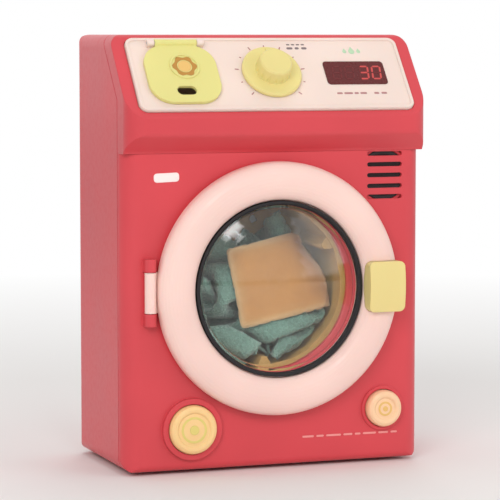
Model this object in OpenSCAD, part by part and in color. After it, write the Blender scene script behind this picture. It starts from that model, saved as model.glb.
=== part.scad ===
// Toy washing machine: battery-driven drum, round door, sloping control head.
// X runs to the right of someone facing the machine, Y runs from the front to the back, Z is up.
// The origin lies on the floor, under the middle of the whole machine. All sizes are in millimetres.
// A "depth" is a distance behind the flat front face; what stands out in front has a negative depth.

/* [Cabinet] */
// Width of the cabinet
cabinet_w = 175; // [170:1:190]
// Depth of the cabinet, from the flat front face to the back
cabinet_d = 92; // [92:1:104]
// Height of the top above the floor
cabinet_h = 240; // [238:1:256]
// Thickness of the moulded walls
wall = 2.2; // [1.8:0.1:2.6]
// Radius of the upright corners
corner_r = 10; // [7:0.5:13]
// Radius of the edges round the top, seen from the front
crown_r = 7; // [5:0.5:9]
// Depth of the seam between the front and rear shells
seam_depth = 10; // [9:0.5:12]
// Width of the groove that shows at the seam
seam_groove = 0.8; // [0.4:0.1:1.2]
// Gap left between mating mouldings
fit_gap = 0.3; // [0.2:0.05:0.4]

/* [Control head] */
// How far the head stands out past the front face
head_out = 10; // [7:0.5:13]
// Height of the upright lip under the panel
lip_h = 10; // [8:0.5:12]
// Height of the undercut between the lip and the front face
undercut_h = 10; // [8:0.5:12]
// Height of the sloping face
slope_rise = 44; // [42:0.5:47]
// Depth of the sloping face
slope_run = 36; // [33:0.5:39]
// Wall thickness under the panel
slope_wall = 3.4; // [3:0.1:4]
// Width of the shell left at each side of the control panel
panel_side = 7.5; // [6:0.5:9.5]
// Height of the control panel along the slope
panel_l = 50; // [49:0.5:52]
// Thickness of the control panel
panel_t = 2.2; // [1.8:0.1:2.6]
// How deep the panel is let into the shell
panel_sunk = 1; // [0.6:0.1:1.4]
// Diameter of the program knob's skirt
knob_d = 34; // [30:0.5:36]
// Diameter of the program knob's grip
grip_d = 20; // [17:0.5:22]
// Width of the detergent lid
lid_w = 41; // [37:0.5:42]
// Length of the detergent lid
lid_l = 39; // [36:0.5:40]
// From the panel's left end to the middle of the detergent lid
lid_from_end = 28; // [26:0.5:30]
// Width of the display window
display_w = 36; // [32:0.5:38]
// Height of the display window
display_h = 16; // [13:0.5:17]
// From the panel's right end to the middle of the display window
display_from_end = 30; // [29:0.5:32]

/* [Door] */
// Height of the door's centre above the floor
door_z = 101; // [99:0.5:104]
// Outer radius of the door
door_r = 70; // [68.5:0.5:71]
// Width of the door ring, from its outer edge to its hole
ring_w = 21; // [19.5:0.5:22.5]
// How far the door ring stands out past the front face
door_out = 13; // [12:0.5:15]
// Thickness of the ring at the back of the door
door_back_t = 2.5; // [2:0.1:3]
// Bulge of the clear window
window_bulge = 8; // [5:0.5:9.5]
// Thickness of the clear window
window_t = 1.8; // [1.5:0.1:2.2]
// Width of the handle
handle_w = 21; // [19:0.5:23]
// Height of the handle
handle_h = 28; // [24:0.5:32]
// How far the handle stands out past the front face
handle_out = 18; // [16.5:0.5:20]
// Radius of the hinge pin
hinge_pin_r = 1.2; // [1:0.1:1.4]
// Height of the hinge arm
hinge_arm_h = 22; // [18:1:26]

/* [Drum] */
// How far inside the door's edge the recess behind it begins
recess_inset = 6.5; // [5.5:0.25:7.5]
// Depth of that recess
recess_d = 4; // [3.5:0.25:5]
// How much smaller the mouth of the drum is than the hole of the door ring
mouth_inset = 3; // [2.5:0.5:4.5]
// How much wider the drum is than its mouth
drum_over = 0; // [0:0.25:0.75]
// Depth at which the drum begins
drum_start = 15; // [15:0.25:16]
// Room left behind the cover of the gears
back_room = 7.8; // [7.8:0.2:10.2]
// Thickness of the drum's wall
drum_t = 2; // [1.6:0.1:2.2]
// Number of holes in each circle of the drum's back
drum_holes = 12; // [8:1:14]
// Gap between the drum and the fixed tub
tub_gap = 2.5; // [2:0.25:3.5]

/* [Gears] */
// Gap between the tub and the motor beside it
motor_gap = 3.75; // [3:0.25:4.75]
// Teeth of the gear on the drum's axle
drum_teeth = 48; // [46:1:50]
// Teeth of the idler's small gear
idler_small_teeth = 12; // [12:1:13]
// Teeth of the idler's large gear
idler_large_teeth = 36; // [34:1:37]
// Teeth of the motor's pinion
pinion_teeth = 10; // [10:1:11]
// Width of the gear faces
gear_face = 4; // [3:0.25:4]
// Radius of the drum's axle
axle_r = 2.5; // [2:0.1:3]
// Radial running clearance of shafts
run_gap = 0.05; // [0.03:0.01:0.08]

/* [Buttons] */
// Radius of the start button
start_r = 13.5; // [12:0.25:14]
// From the cabinet's left side to the middle of the start button
start_side = 38.5; // [36.5:0.5:40.5]
// Height of the start button above the floor
start_z = 25; // [24:0.5:27]
// Radius of the sound button
sound_r = 10.3; // [9:0.1:10.6]
// From the cabinet's right side to the middle of the sound button
sound_side = 23.5; // [22.5:0.5:25.5]
// Height of the sound button above the floor
sound_z = 31; // [29:0.5:33]
// How far the buttons stand out past the front face
button_out = 6; // [5:0.25:7]
// Travel of the buttons
button_travel = 2.5; // [2:0.1:2.5]

/* [Sound and power] */
// From the cabinet's right side to the middle of the speaker
speaker_side = 22.5; // [21.5:0.5:23.5]
// From the undercut of the head down to the middle of the speaker
speaker_below = 14; // [13:0.5:16]
// Radius of the speaker
speaker_r = 14; // [12:0.5:14.5]
// Number of grille slots in front of it
slots = 5; // [3:1:5]
// Distance from one grille slot to the next
slot_pitch = 6; // [5:0.25:6.5]
// Length of a grille slot
slot_l = 21; // [18:0.5:23]
// Radius of a battery cell
cell_r = 7.1; // [6.8:0.1:7.3]
// Length of a battery cell without its nub
cell_l = 48.5; // [47:0.5:49]
// Height of the battery bay's centre
bay_z = 33; // [32.5:0.25:34]

/* [Feet] */
// Height of the feet under the cabinet
foot_h = 2; // [1.5:0.25:3]
// Radius of a foot
foot_r = 7; // [5:0.5:8]

/* [Laundry] */
// Height of the laundry's crown above the middle of the drum
laundry_crown = 14; // [8:1:18]
// Depth of the soft folds on the laundry
fold_depth = 1.6; // [1:0.1:2]

/* [Hidden] */
$fn = 72;

red = [0.85, 0.32, 0.36];
pink = [0.96, 0.82, 0.77];
yellow = [0.95, 0.86, 0.48];
dark = [0.13, 0.11, 0.11];
steel = [0.75, 0.76, 0.78];
board_green = [0.16, 0.42, 0.25];

// The whole machine is centred front to back, so the flat front face lies here.
front_y = (handle_out - cabinet_d) / 2;
slope_top = cabinet_h;
slope_foot = slope_top - slope_rise;
slope_angle = atan2(slope_rise, slope_run);
seam_bend_z = slope_foot + 9;
eps = 0.01;

// Sizes that follow from the driving ones.
panel_w = cabinet_w - 2 * panel_side;
lid_x = lid_from_end - panel_w / 2;
display_x = panel_w / 2 - display_from_end;
door_hole_r = door_r - ring_w;
recess_r = door_r - recess_inset;
mouth_r = door_hole_r - mouth_inset;
drum_r = mouth_r + drum_over;
tub_r = drum_r + drum_t + tub_gap;
motor_r = 10;
all_teeth = drum_teeth + idler_small_teeth + idler_large_teeth + pinion_teeth;
gear_module = 2 * (tub_r + 2 + motor_gap + motor_r) / all_teeth;
start_x = start_side - cabinet_w / 2;
sound_x = cabinet_w / 2 - sound_side;
speaker_x = cabinet_w / 2 - speaker_side;
speaker_z = slope_foot - lip_h - undercut_h - speaker_below;

/* Plane shapes */

// Unit vector along v.
function unit(v) = v / norm(v);

// Points of the arc that rounds the corner at p between its neighbours a and b.
function corner_arc(a, p, b, r, steps) =
    let (u = unit(a - p), v = unit(b - p), half = acos(u * v) / 2,
         centre = p + unit(u + v) * r / sin(half),
         start = p + u * r / tan(half) - centre,
         finish = p + v * r / tan(half) - centre,
         turn_0 = atan2(start.y, start.x),
         turn = (atan2(finish.y, finish.x) - turn_0 + 540) % 360 - 180)
    [for (k = [0 : steps]) centre + r * [cos(turn_0 + turn * k / steps), sin(turn_0 + turn * k / steps)]];

// Outline through corners [x, y, r], anticlockwise, each corner rounded to its own radius.
function rounded(corners, steps = 6) =
    let (n = len(corners))
    [for (i = [0 : n - 1])
        let (a = corners[(i + n - 1) % n], p = corners[i], b = corners[(i + 1) % n])
        each corner_arc([a.x, a.y], [p.x, p.y], [b.x, b.y], p[2], steps)];

// The same corners moved inwards by d, with their radii changed to match.
function inset_corners(corners, d) =
    let (n = len(corners))
    [for (i = [0 : n - 1])
        let (a = corners[(i + n - 1) % n], p = corners[i], b = corners[(i + 1) % n],
             e = unit([p.x - a.x, p.y - a.y]), f = unit([b.x - p.x, b.y - p.y]),
             m = [-e.y, e.x], k = [-f.y, f.x],
             at = [p.x, p.y] + d * (m + k) / (1 + m * k),
             convex = e.x * f.y - e.y * f.x > 0)
        [at.x, at.y, convex ? max(p[2] - d, 0.5) : p[2] + d]];

// Rectangle with round corners, centred.
module plate_2d(w, h, r) {
    square([w - 2 * r, h], center = true);
    square([w, h - 2 * r], center = true);
    for (x = [-1, 1], y = [-1, 1])
        translate([x * (w / 2 - r), y * (h / 2 - r)]) circle(r);
}

// Slot with round ends, centred, its long side along X.
module slot_2d(l, w) {
    square([l - w, w], center = true);
    for (s = [-1, 1]) translate([s * (l - w) / 2, 0]) circle(w / 2);
}

/* Placing things */

// Round bar that runs front to back between two depths.
module bar(x, z, from, to, r) {
    translate([x, front_y + from, z]) rotate([-90, 0, 0]) cylinder(h = to - from, r = r);
}

// Round hole or ring section between two depths.
module tube(x, z, from, to, r_in, r_out) {
    difference() {
        bar(x, z, from, to, r_out);
        bar(x, z, from - 1, to + 1, r_in);
    }
}

// A turned piece about a front-to-back axis: points are [radius, depth].
module turned(x, z, points) {
    translate([x, front_y, z]) rotate([-90, 0, 0]) rotate_extrude() polygon(points);
}

// Block between two depths, centred on x and z.
module slab(x, z, w, h, from, to) {
    translate([x - w / 2, front_y + from, z - h / 2]) cube([w, to - from, h]);
}

// A flat outline standing upright between two depths; its second axis points up.
module upright(x, z, from, to) {
    translate([x, front_y + to, z]) rotate([90, 0, 0]) linear_extrude(to - from) children();
}

// Frame on the sloping face: X along the width, Y up the slope, Z out of it.
module on_slope() {
    translate([0, front_y - head_out + slope_run / 2, slope_foot + slope_rise / 2])
        rotate([slope_angle, 0, 0]) children();
}

// Pan-head screw with a cross recess, its head on top, the seat of the head at the origin.
module screw(shank_r, shank_l, head_r, head_h) {
    difference() {
        union() {
            cylinder(h = head_h, r = head_r);
            translate([0, 0, -shank_l]) cylinder(h = shank_l + eps, r = shank_r);
        }
        for (turn = [0, 90]) rotate(turn)
            translate([0, 0, head_h]) cube([head_r * 1.1, head_r * 0.3, head_h], center = true);
    }
}

// The same screw driven in from the back: its head's seat lies at the depth given.
module screw_from_back(x, z, seat, shank_r, shank_l, head_r, head_h) {
    translate([x, front_y + seat, z]) rotate([-90, 0, 0]) screw(shank_r, shank_l, head_r, head_h);
}

/* Cabinet shapes */

side_corners = [
    [front_y, foot_h, 4],
    [front_y + cabinet_d, foot_h, 5],
    [front_y + cabinet_d, cabinet_h, 6],
    [front_y - head_out + slope_run, cabinet_h, 5],
    [front_y - head_out, slope_foot, 2.5],
    [front_y - head_out, slope_foot - lip_h, 4],
    [front_y, slope_foot - lip_h - undercut_h, 5]
];

// Upright block with round corners, from one depth to the back.
module plan_block(from, inset, low, high) {
    depth = cabinet_d - from - 2 * inset;
    translate([0, front_y + from + inset + depth / 2, low])
        linear_extrude(high - low)
            plate_2d(cabinet_w - 2 * inset, depth, corner_r - inset);
}

// The cabinet's outer form, or that form moved in by an inset.
module cabinet_block(inset = 0) {
    face_h = cabinet_h - foot_h;
    intersection() {
        rotate([90, 0, 90]) translate([0, 0, inset - cabinet_w / 2])
            linear_extrude(cabinet_w - 2 * inset)
                polygon(rounded(inset_corners(side_corners, inset)));
        translate([0, 0, foot_h + face_h / 2]) rotate([90, 0, 0])
            linear_extrude(4 * cabinet_d, center = true)
                plate_2d(cabinet_w - 2 * inset, face_h - 2 * inset, crown_r - inset);
        union() {
            plan_block(0, inset, 0, cabinet_h);
            plan_block(-head_out, inset, slope_foot - lip_h - undercut_h, cabinet_h);
        }
    }
}

// The hollow inside the cabinet, with a thicker wall left under the panel.
module cavity() {
    difference() {
        cabinet_block(wall);
        on_slope() translate([0, 0, 50 - slope_wall])
            cube([2 * cabinet_w, 2 * cabinet_d, 100], center = true);
    }
}

// Everything in front of the seam, which runs upright and then along the slope. Shift moves the seam back.
module before_seam(shift = 0) {
    lean = slope_run / slope_rise;
    top = cabinet_h + 20;
    at = front_y + seam_depth + shift;
    rotate([90, 0, 90]) translate([0, 0, -cabinet_w])
        linear_extrude(2 * cabinet_w)
            polygon([[front_y - 60, -20], [at, -20], [at, seam_bend_z],
                     [at + (top - seam_bend_z) * lean, top], [front_y - 60, top]]);
}

/* Housing screws */

screw_r = 1.2;
pilot_r = screw_r + run_gap;
post_r = 3.5;
post_end = 60;
well_r = 4.6;
well_floor = 2;
post_inset = 9.5;
post_below_head = 18;
post_below_top = 14;
post_places = [for (s = [-1, 1])
    each [[s * (cabinet_w / 2 - post_inset), foot_h + post_inset],
          [s * (cabinet_w / 2 - post_inset), slope_foot - post_below_head],
          [s * (cabinet_w / 2 - post_inset + 1), cabinet_h - post_below_top]]];

module housing_posts() {
    intersection() {
        union() for (p = post_places) bar(p.x, p[1], -head_out, post_end, post_r);
        cabinet_block(wall / 2);
    }
}

module housing_wells() {
    for (p = post_places) bar(p.x, p[1], post_end, cabinet_d - wall / 2, well_r);
}

module housing_screws() {
    color(steel) for (p = post_places)
        screw_from_back(p.x, p[1], post_end + well_floor, screw_r, 10, 2.6, 1.8);
}

/* Front shell */

recess_back = recess_d + wall;
mouth_end = 12;
boss_ring_r = tub_r + 10.5;
tub_boss_r = 4;
tub_boss_turns = [45, 135, 225, 315];
knuckle_r = 3.2;
hinge_x = -(door_r + knuckle_r + fit_gap);
hinge_out = knuckle_r + 0.8;
lug_h = 7;
latch_x = door_r - 2.4;
latch_w = 2.4;
latch_h = 10;
collar_h = 2.5;
start_collar_r = start_r + 3.5;
sound_collar_r = sound_r + 2.3;
button_gap = 0.4;
bracket_front = 11;
bracket_t = 2;
start_bracket_reach = start_r + 5.5;
sound_bracket_reach = sound_r + 5.5;
speaker_front = wall;
speaker_rim_t = 2.5;
clamp_reach = speaker_r + 4.5;
light_w = 3.5;
light_r = recess_r - light_w / 2 - 3;
led_r = 1.8;
led_turns = [90, 270];
recess_hole_r = light_r - light_w / 2 - 1.2;

// Places of the screws that hold the two button brackets.
bracket_screw_places = [
    [start_x - start_bracket_reach, start_z], [start_x + start_bracket_reach, start_z],
    [sound_x, sound_z - sound_bracket_reach], [sound_x, sound_z + sound_bracket_reach]];

// Places of the two screws of the speaker's clamp, one on each side of it.
clamp_screw_places = [[speaker_x - clamp_reach, speaker_z], [speaker_x, speaker_z - clamp_reach]];

module hinge_lugs() {
    for (side = [0, 1])
        mirror([0, 0, side]) translate([0, 0, hinge_arm_h / 2 + fit_gap]) {
            translate([0, -hinge_out, 0]) cylinder(h = lug_h, r = knuckle_r);
            translate([-knuckle_r, -hinge_out, 0]) cube([2 * knuckle_r, hinge_out + wall / 2, lug_h]);
        }
}

module front_shell_solids() {
    difference() {
        intersection() {
            cabinet_block();
            before_seam();
        }
        cavity();
    }
    // Back wall of the door recess.
    bar(0, door_z, wall / 2, recess_back, recess_r + wall);
    for (turn = tub_boss_turns)
        bar(boss_ring_r * cos(turn), door_z + boss_ring_r * sin(turn), recess_back - 1, mouth_end,
            tub_boss_r);
    bar(start_x, start_z, -collar_h, wall / 2, start_collar_r);
    bar(sound_x, sound_z, -collar_h / 2, wall / 2, sound_collar_r);
    for (p = bracket_screw_places) bar(p.x, p[1], wall / 2, bracket_front, 3);
    tube(speaker_x, speaker_z, wall / 2, speaker_front + speaker_rim_t, speaker_r + fit_gap, speaker_r + 2);
    for (p = clamp_screw_places) bar(p.x, p[1], wall / 2, speaker_front + speaker_rim_t, 3);
    translate([hinge_x, front_y, door_z]) hinge_lugs();
    housing_posts();
}

module front_shell() {
    color(red) difference() {
        front_shell_solids();
        // Door recess, mouth, the groove and lamp holes of the light ring, and the latch slot.
        bar(0, door_z, -1, recess_d, recess_r);
        bar(0, door_z, -1, mouth_end + 1, recess_hole_r);
        tube(0, door_z, recess_d - 1, recess_d + 1, light_r - light_w / 2, light_r + light_w / 2);
        for (turn = led_turns)
            bar(light_r * cos(turn), door_z + light_r * sin(turn), 0, mouth_end, led_r + run_gap);
        slab(latch_x, door_z, latch_w + 1.2, latch_h + 2, -1, recess_back + 1);
        for (turn = tub_boss_turns)
            bar(boss_ring_r * cos(turn), door_z + boss_ring_r * sin(turn), recess_back + 0.5,
                mouth_end + 1, pilot_r);
        // Buttons and their brackets.
        bar(start_x, start_z, -collar_h - 1, wall + 1, start_r + button_gap);
        bar(sound_x, sound_z, -collar_h - 1, wall + 1, sound_r + button_gap);
        for (p = bracket_screw_places) bar(p.x, p[1], wall + 1, bracket_front + 1, pilot_r);
        // Speaker grille.
        for (i = [0 : slots - 1])
            upright(speaker_x, speaker_z + (i - (slots - 1) / 2) * slot_pitch, -1, wall + eps)
                slot_2d(slot_l, 2.4);
        for (p = clamp_screw_places) bar(p.x, p[1], wall + 0.5, wall + 9, pilot_r);
        // Pocket and window for the control panel.
        on_slope() {
            translate([0, 0, -panel_sunk]) linear_extrude(10)
                plate_2d(panel_w + 2 * fit_gap, panel_l + 2 * fit_gap, 5.3);
            translate([0, 0, -10]) linear_extrude(20) plate_2d(panel_w - 10, panel_l - 8, 4);
        }
        // Bores for the hinge pin and the housing screws.
        translate([hinge_x, front_y - hinge_out, door_z - hinge_arm_h / 2 - lug_h - 1])
            cylinder(h = hinge_arm_h + 2 * lug_h + 2, r = hinge_pin_r);
        for (p = post_places) bar(p.x, p[1], post_end - 12, post_end + 1, pilot_r);
    }
}

/* Mouth of the drum */

// Funnel that leads from the door recess into the drum, held between the front shell and the tub.
module mouth_ring() {
    out = recess_hole_r - fit_gap;
    flange = 1;
    flange_t = 1.8;
    color(red) turned(0, door_z, [[out, recess_d + 0.2], [out, recess_back], [out + flange, recess_back],
        [out + flange, recess_back + flange_t], [mouth_r + 3, mouth_end], [mouth_r, mouth_end],
        [mouth_r, mouth_end - 2.5], [out - 0.6, recess_d]]);
}

/* Rear shell */

bay_l = cell_l + 9.5;
bay_h = 3 * (2 * cell_r + 0.8);
bay_depth = 2 * cell_r + 1.6;
bay_wall = 1.6;
cover_t = 2;
cover_w = bay_l + 10;
cover_h = bay_h + 10;
ledge_depth = cabinet_d - cover_t;
bay_front = ledge_depth - bay_depth;
cover_screw_z = bay_z + bay_h / 2 + 2.4;
foot_sunk = 1.2;
foot_places = [for (s = [-1, 1], d = [24, cabinet_d - 16]) [s * (cabinet_w / 2 - 17), d]];

module rear_shell() {
    color(red) difference() {
        union() {
            difference() {
                cabinet_block();
                cavity();
                before_seam();
                // Groove at the seam.
                difference() {
                    before_seam(seam_groove);
                    cabinet_block(0.6);
                }
            }
            housing_wells();
            // Thickened wall round the battery cover, and the bay's own walls.
            slab(0, bay_z, cover_w + 6, cover_h + 4, ledge_depth - 2, cabinet_d - wall / 2);
            slab(0, bay_z, bay_l + 2 * bay_wall, bay_h + 2 * bay_wall, bay_front - bay_wall, ledge_depth - 1);
            for (p = foot_places)
                translate([p.x, front_y + p[1], foot_h + wall / 2])
                    cylinder(h = foot_sunk + wall / 2, r = foot_r + 2);
        }
        for (p = post_places) {
            bar(p.x, p[1], post_end + well_floor, cabinet_d + 1, well_r - 1.4);
            bar(p.x, p[1], post_end - 1, post_end + well_floor + 1, screw_r + 0.3);
        }
        slab(0, bay_z, bay_l, bay_h, bay_front, cabinet_d + 1);
        upright(0, bay_z, ledge_depth, cabinet_d + 1)
            plate_2d(cover_w + 2 * fit_gap, cover_h + 2 * fit_gap, 3.3);
        bar(0, cover_screw_z, ledge_depth - 1.9, ledge_depth + 1, pilot_r);
        for (p = foot_places)
            translate([p.x, front_y + p[1], 0]) cylinder(h = foot_h + foot_sunk, r = foot_r);
    }
}

module feet() {
    color(dark) for (p = foot_places)
        translate([p.x, front_y + p[1], 0]) {
            cylinder(h = 0.8, r1 = foot_r - 1.2, r2 = foot_r - 0.4);
            translate([0, 0, 0.8]) cylinder(h = foot_h + foot_sunk - 0.8, r = foot_r - 0.4);
        }
}

module battery_cover() {
    color(red) difference() {
        upright(0, bay_z, ledge_depth, cabinet_d) plate_2d(cover_w, cover_h, 3);
        bar(0, cover_screw_z, 0, cabinet_d + 1, screw_r + 0.3);
        bar(0, cover_screw_z, cabinet_d - 1.2, cabinet_d + 1, 3);
        // Finger grooves at the lower edge.
        for (i = [0 : 2])
            upright(0, bay_z - cover_h / 2 + 5 + 3 * i, cabinet_d - 0.8, cabinet_d + 1)
                slot_2d(18 - 4 * i, 1.2);
    }
}

module battery_cover_screw() {
    color(steel) screw_from_back(0, cover_screw_z, cabinet_d - 1.2, screw_r, 2.6, 2.5, 1.1);
}

// Cells lie side to side, stacked, and alternate in direction.
cell_depth = bay_front + 0.7 + cell_r;
contact_t = 0.5;
nub_l = 1.2;
function cell_z(i) = bay_z + (i - 1) * (2 * cell_r + 0.8);
function cell_way(i) = i % 2 == 0 ? 1 : -1;

module batteries() {
    for (i = [0 : 2])
        translate([cell_way(i) * (bay_l / 2 - contact_t), front_y + cell_depth, cell_z(i)])
            rotate([0, -90 * cell_way(i), 0]) {
                color(steel) cylinder(h = nub_l, r = 2.6);
                color("seagreen") translate([0, 0, nub_l]) cylinder(h = cell_l, r = cell_r);
            }
}

// Points round one ring of a tube, in the plane of two unit vectors.
function tube_ring(centre, u, v, r, sides) =
    [for (k = [0 : sides - 1]) centre + r * (cos(360 * k / sides) * u + sin(360 * k / sides) * v)];

// Faces round a tube made of rings of the same number of points.
function side_faces(rings, sides) = [for (i = [0 : rings - 2], k = [0 : sides - 1])
    let (a = i * sides + k, b = i * sides + (k + 1) % sides)
        each [[a, b, a + sides], [b, b + sides, a + sides]]];

// Flat fan that closes a convex ring, and a strip that closes one made of two lines of n points.
function fan(sides, base) = [for (k = [1 : sides - 2]) [base, base + k, base + k + 1]];
function strip(n, base) = [for (k = [0 : n - 2]) let (a = base + k, b = base + 2 * n - 1 - k)
    each [[a, a + 1, b - 1], [a, b - 1, b]]];

// The same faces seen from the other side.
function flipped(faces) = [for (f = faces) [f[2], f[1], f[0]]];

// Coil spring standing on the origin, from radius r_0 to r_1, wound from wire of radius w.
module coil_spring(r_0, r_1, w, l, turns, per_turn = 10, sides = 6) {
    rings = turns * per_turn + 1;
    echo(least_gap_between_turns = (l - 2 * w) / turns - 2 * w);
    points = [for (i = [0 : rings - 1])
        let (t = i / (rings - 1), a = 360 * turns * t, r = r_0 + (r_1 - r_0) * t, out = [cos(a), sin(a), 0])
        each tube_ring(r * out + [0, 0, w + (l - 2 * w) * t], out, [0, 0, 1], w, sides)];
    polyhedron(points, concat(flipped(fan(sides, 0)), side_faces(rings, sides),
        fan(sides, (rings - 1) * sides)));
}

module battery_contacts() {
    color(steel) for (i = [0 : 2]) {
        spring_l = bay_l - 2 * contact_t - nub_l - cell_l;
        for (end = [-1, 1])
            slab(end * (bay_l - contact_t) / 2, cell_z(i), contact_t, 10, cell_depth - 5, cell_depth + 5);
        translate([-cell_way(i) * (bay_l / 2 - contact_t), front_y + cell_depth, cell_z(i)])
            rotate([0, 90 * cell_way(i), 0]) translate([0, 0, -0.2]) coil_spring(4.2, 2.8, 0.4, spring_l, 3);
    }
}

/* Light ring */

module light_ring() {
    color([1, 0.97, 0.92, 0.8])
        turned(0, door_z, [[light_r - light_w / 2 + 0.1, recess_d + 1],
            [light_r - light_w / 2 + 0.1, recess_d - 1],
            [light_r - 0.8, recess_d - 1.8], [light_r + 0.8, recess_d - 1.8],
            [light_r + light_w / 2 - 0.1, recess_d - 1], [light_r + light_w / 2 - 0.1, recess_d + 1]]);
}

module ring_leds() {
    for (turn = led_turns) {
        x = light_r * cos(turn);
        z = door_z + light_r * sin(turn);
        color([1, 0.95, 0.7]) bar(x, z, recess_d + 1.1, mouth_end - 3, led_r);
        color(board_green) slab(x, z, 5, 5, mouth_end - 3.1, mouth_end - 2);
    }
}

/* Control head */

panel_back = -panel_sunk;
panel_face = panel_t - panel_sunk;
lid_v = -1.5;
lid_lift = 0.3;
lid_t = 2;
lid_barrel_r = 1.9;
lid_pin_r = 0.9;
lid_axis_v = lid_v + lid_l / 2 + 2;
lid_axis_n = panel_face + 2.1;
lid_barrel_l = 24;
lid_lug_l = 4;
cup_w = lid_w - 9;
cup_l = lid_l - 11;
cup_depth = 18;
cup_t = 1.6;
board_n = -14;
board_t = 1.6;
board_top = board_n + board_t;
board_left = -27;
board_right = display_x + 22;
board_l = 38;
spindle_r = 2.2;
board_post_places = [for (x = [board_left + 4, board_right - 4], v = [-1, 1]) [x, v * (board_l / 2 - 4)]];
lens_flange = 1.2;

module control_panel() {
    color(pink) on_slope() difference() {
        union() {
            translate([0, 0, panel_back]) linear_extrude(panel_t) plate_2d(panel_w, panel_l, 5);
            // Raised rim round the panel.
            translate([0, 0, panel_face - eps]) linear_extrude(0.6) difference() {
                plate_2d(panel_w - 0.6, panel_l - 0.6, 4.7);
                plate_2d(panel_w - 4, panel_l - 4, 3);
            }
            // Lugs of the lid's hinge.
            for (s = [-1, 1]) translate([lid_x + s * (lid_barrel_l + lid_lug_l + 2 * fit_gap) / 2,
                lid_axis_v, 0]) {
                translate([-lid_lug_l / 2, 0, lid_axis_n]) rotate([0, 90, 0])
                    cylinder(h = lid_lug_l, r = lid_barrel_r);
                translate([-lid_lug_l / 2, -lid_barrel_r, panel_face - eps])
                    cube([lid_lug_l, 2 * lid_barrel_r, lid_axis_n - panel_face]);
            }
            for (p = board_post_places) translate([p.x, p[1], board_top])
                cylinder(h = panel_back - board_top + eps, r = 2.6);
        }
        translate([lid_x, lid_v, panel_back - 1]) linear_extrude(panel_t + 2) plate_2d(cup_w, cup_l, 9);
        translate([0, 0, panel_back - 1]) cylinder(h = panel_t + 2, r = 3.4);
        translate([display_x, 0, panel_back - 1]) linear_extrude(panel_t + 2)
            plate_2d(display_w + 2 * run_gap, display_h + 2 * run_gap, 2.05);
        translate([lid_x - cabinet_w / 8, lid_axis_v, lid_axis_n]) rotate([0, 90, 0])
            cylinder(h = cabinet_w / 4, r = lid_pin_r);
        for (p = board_post_places) translate([p.x, p[1], board_top - 1]) cylinder(h = 9, r = 1 + run_gap);
    }
}

module display_lens() {
    color([0.35, 0.05, 0.06, 0.9]) on_slope() {
        translate([display_x, 0, panel_back - lens_flange / 2])
            linear_extrude(panel_t + lens_flange / 2 + 0.3) plate_2d(display_w, display_h, 2);
        translate([display_x, 0, panel_back - lens_flange])
            linear_extrude(lens_flange) plate_2d(display_w + 2, display_h + 2, 2.5);
    }
}

module display_module() {
    color([0.9, 0.9, 0.88]) on_slope() translate([display_x, 0, board_top])
        linear_extrude(panel_back - lens_flange - board_top - 0.4)
            square([display_w - 4, display_h + 1], center = true);
}

module main_board() {
    color(board_green) on_slope() difference() {
        translate([board_left, -board_l / 2, board_n]) cube([board_right - board_left, board_l, board_t]);
        for (p = board_post_places) translate([p.x, p[1], board_n - 1]) cylinder(h = board_t + 2, r = 1.2);
        translate([0, 0, board_n - 1]) cylinder(h = board_t + 2, r = spindle_r + 0.3);
    }
}

module board_screws() {
    color(steel) on_slope() for (p = board_post_places)
        translate([p.x, p[1], board_n]) rotate([180, 0, 0]) screw(1, 7, 2, 1.4);
}

module rotary_switch() {
    top = panel_back - 0.5;
    color([0.2, 0.2, 0.22]) on_slope() difference() {
        union() {
            translate([-6.5, -6.5, board_top]) cube([13, 13, 6]);
            translate([0, 0, board_top]) cylinder(h = top - board_top, r = 4.6);
        }
        translate([0, 0, board_top + 1]) cylinder(h = 20, r = spindle_r + run_gap);
    }
}

module knob_spindle() {
    color(steel) on_slope() translate([0, 0, board_top + 1.2])
        cylinder(h = panel_face + 9 - board_top - 1.2, r = spindle_r);
}

module program_knob() {
    skirt_t = 2.4;
    grip_h = 8;
    low = panel_face + 0.5;
    color(yellow) on_slope() difference() {
        union() {
            translate([0, 0, low]) cylinder(h = skirt_t - 0.8, r = knob_d / 2);
            translate([0, 0, low + skirt_t - 0.8]) cylinder(h = 0.8, r1 = knob_d / 2, r2 = knob_d / 2 - 0.8);
            translate([0, 0, low + skirt_t - eps])
                cylinder(h = grip_h - 0.8, r1 = grip_d / 2, r2 = grip_d / 2 - 0.9);
            translate([0, 0, low + skirt_t + grip_h - 0.8 - 2 * eps])
                cylinder(h = 0.8, r1 = grip_d / 2 - 0.9, r2 = grip_d / 2 - 1.7);
            // Pointer on the skirt.
            translate([-0.9, grip_d / 2 - 2, low + skirt_t - eps]) cube([1.8, (knob_d - grip_d) / 2, 0.7]);
        }
        // Finger flutes round the grip.
        for (turn = [0 : 24 : 359]) rotate(turn)
            translate([grip_d / 2 + 0.7, 0, low + skirt_t + 0.8]) cylinder(h = grip_h, r = 1.3);
        translate([0, 0, low - 1]) cylinder(h = panel_face + 9 - low + 1, r = spindle_r);
        // Hollow under the skirt.
        translate([0, 0, low - 1]) difference() {
            cylinder(h = 1 + skirt_t - 1.4, r = knob_d / 2 - 1.4);
            cylinder(h = 10, r = spindle_r + 1.6);
        }
    }
}

module detergent_cup() {
    top = panel_back;
    color(pink) on_slope() translate([lid_x, lid_v, 0]) difference() {
        union() {
            translate([0, 0, top - cup_depth]) linear_extrude(cup_depth)
                plate_2d(cup_w + 2 * cup_t, cup_l + 2 * cup_t, 10);
            translate([0, 0, top - 1.4]) linear_extrude(1.4) plate_2d(cup_w + 8, cup_l + 8, 10);
        }
        translate([0, 0, top - cup_depth + cup_t]) linear_extrude(cup_depth) plate_2d(cup_w, cup_l, 9);
    }
}

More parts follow.
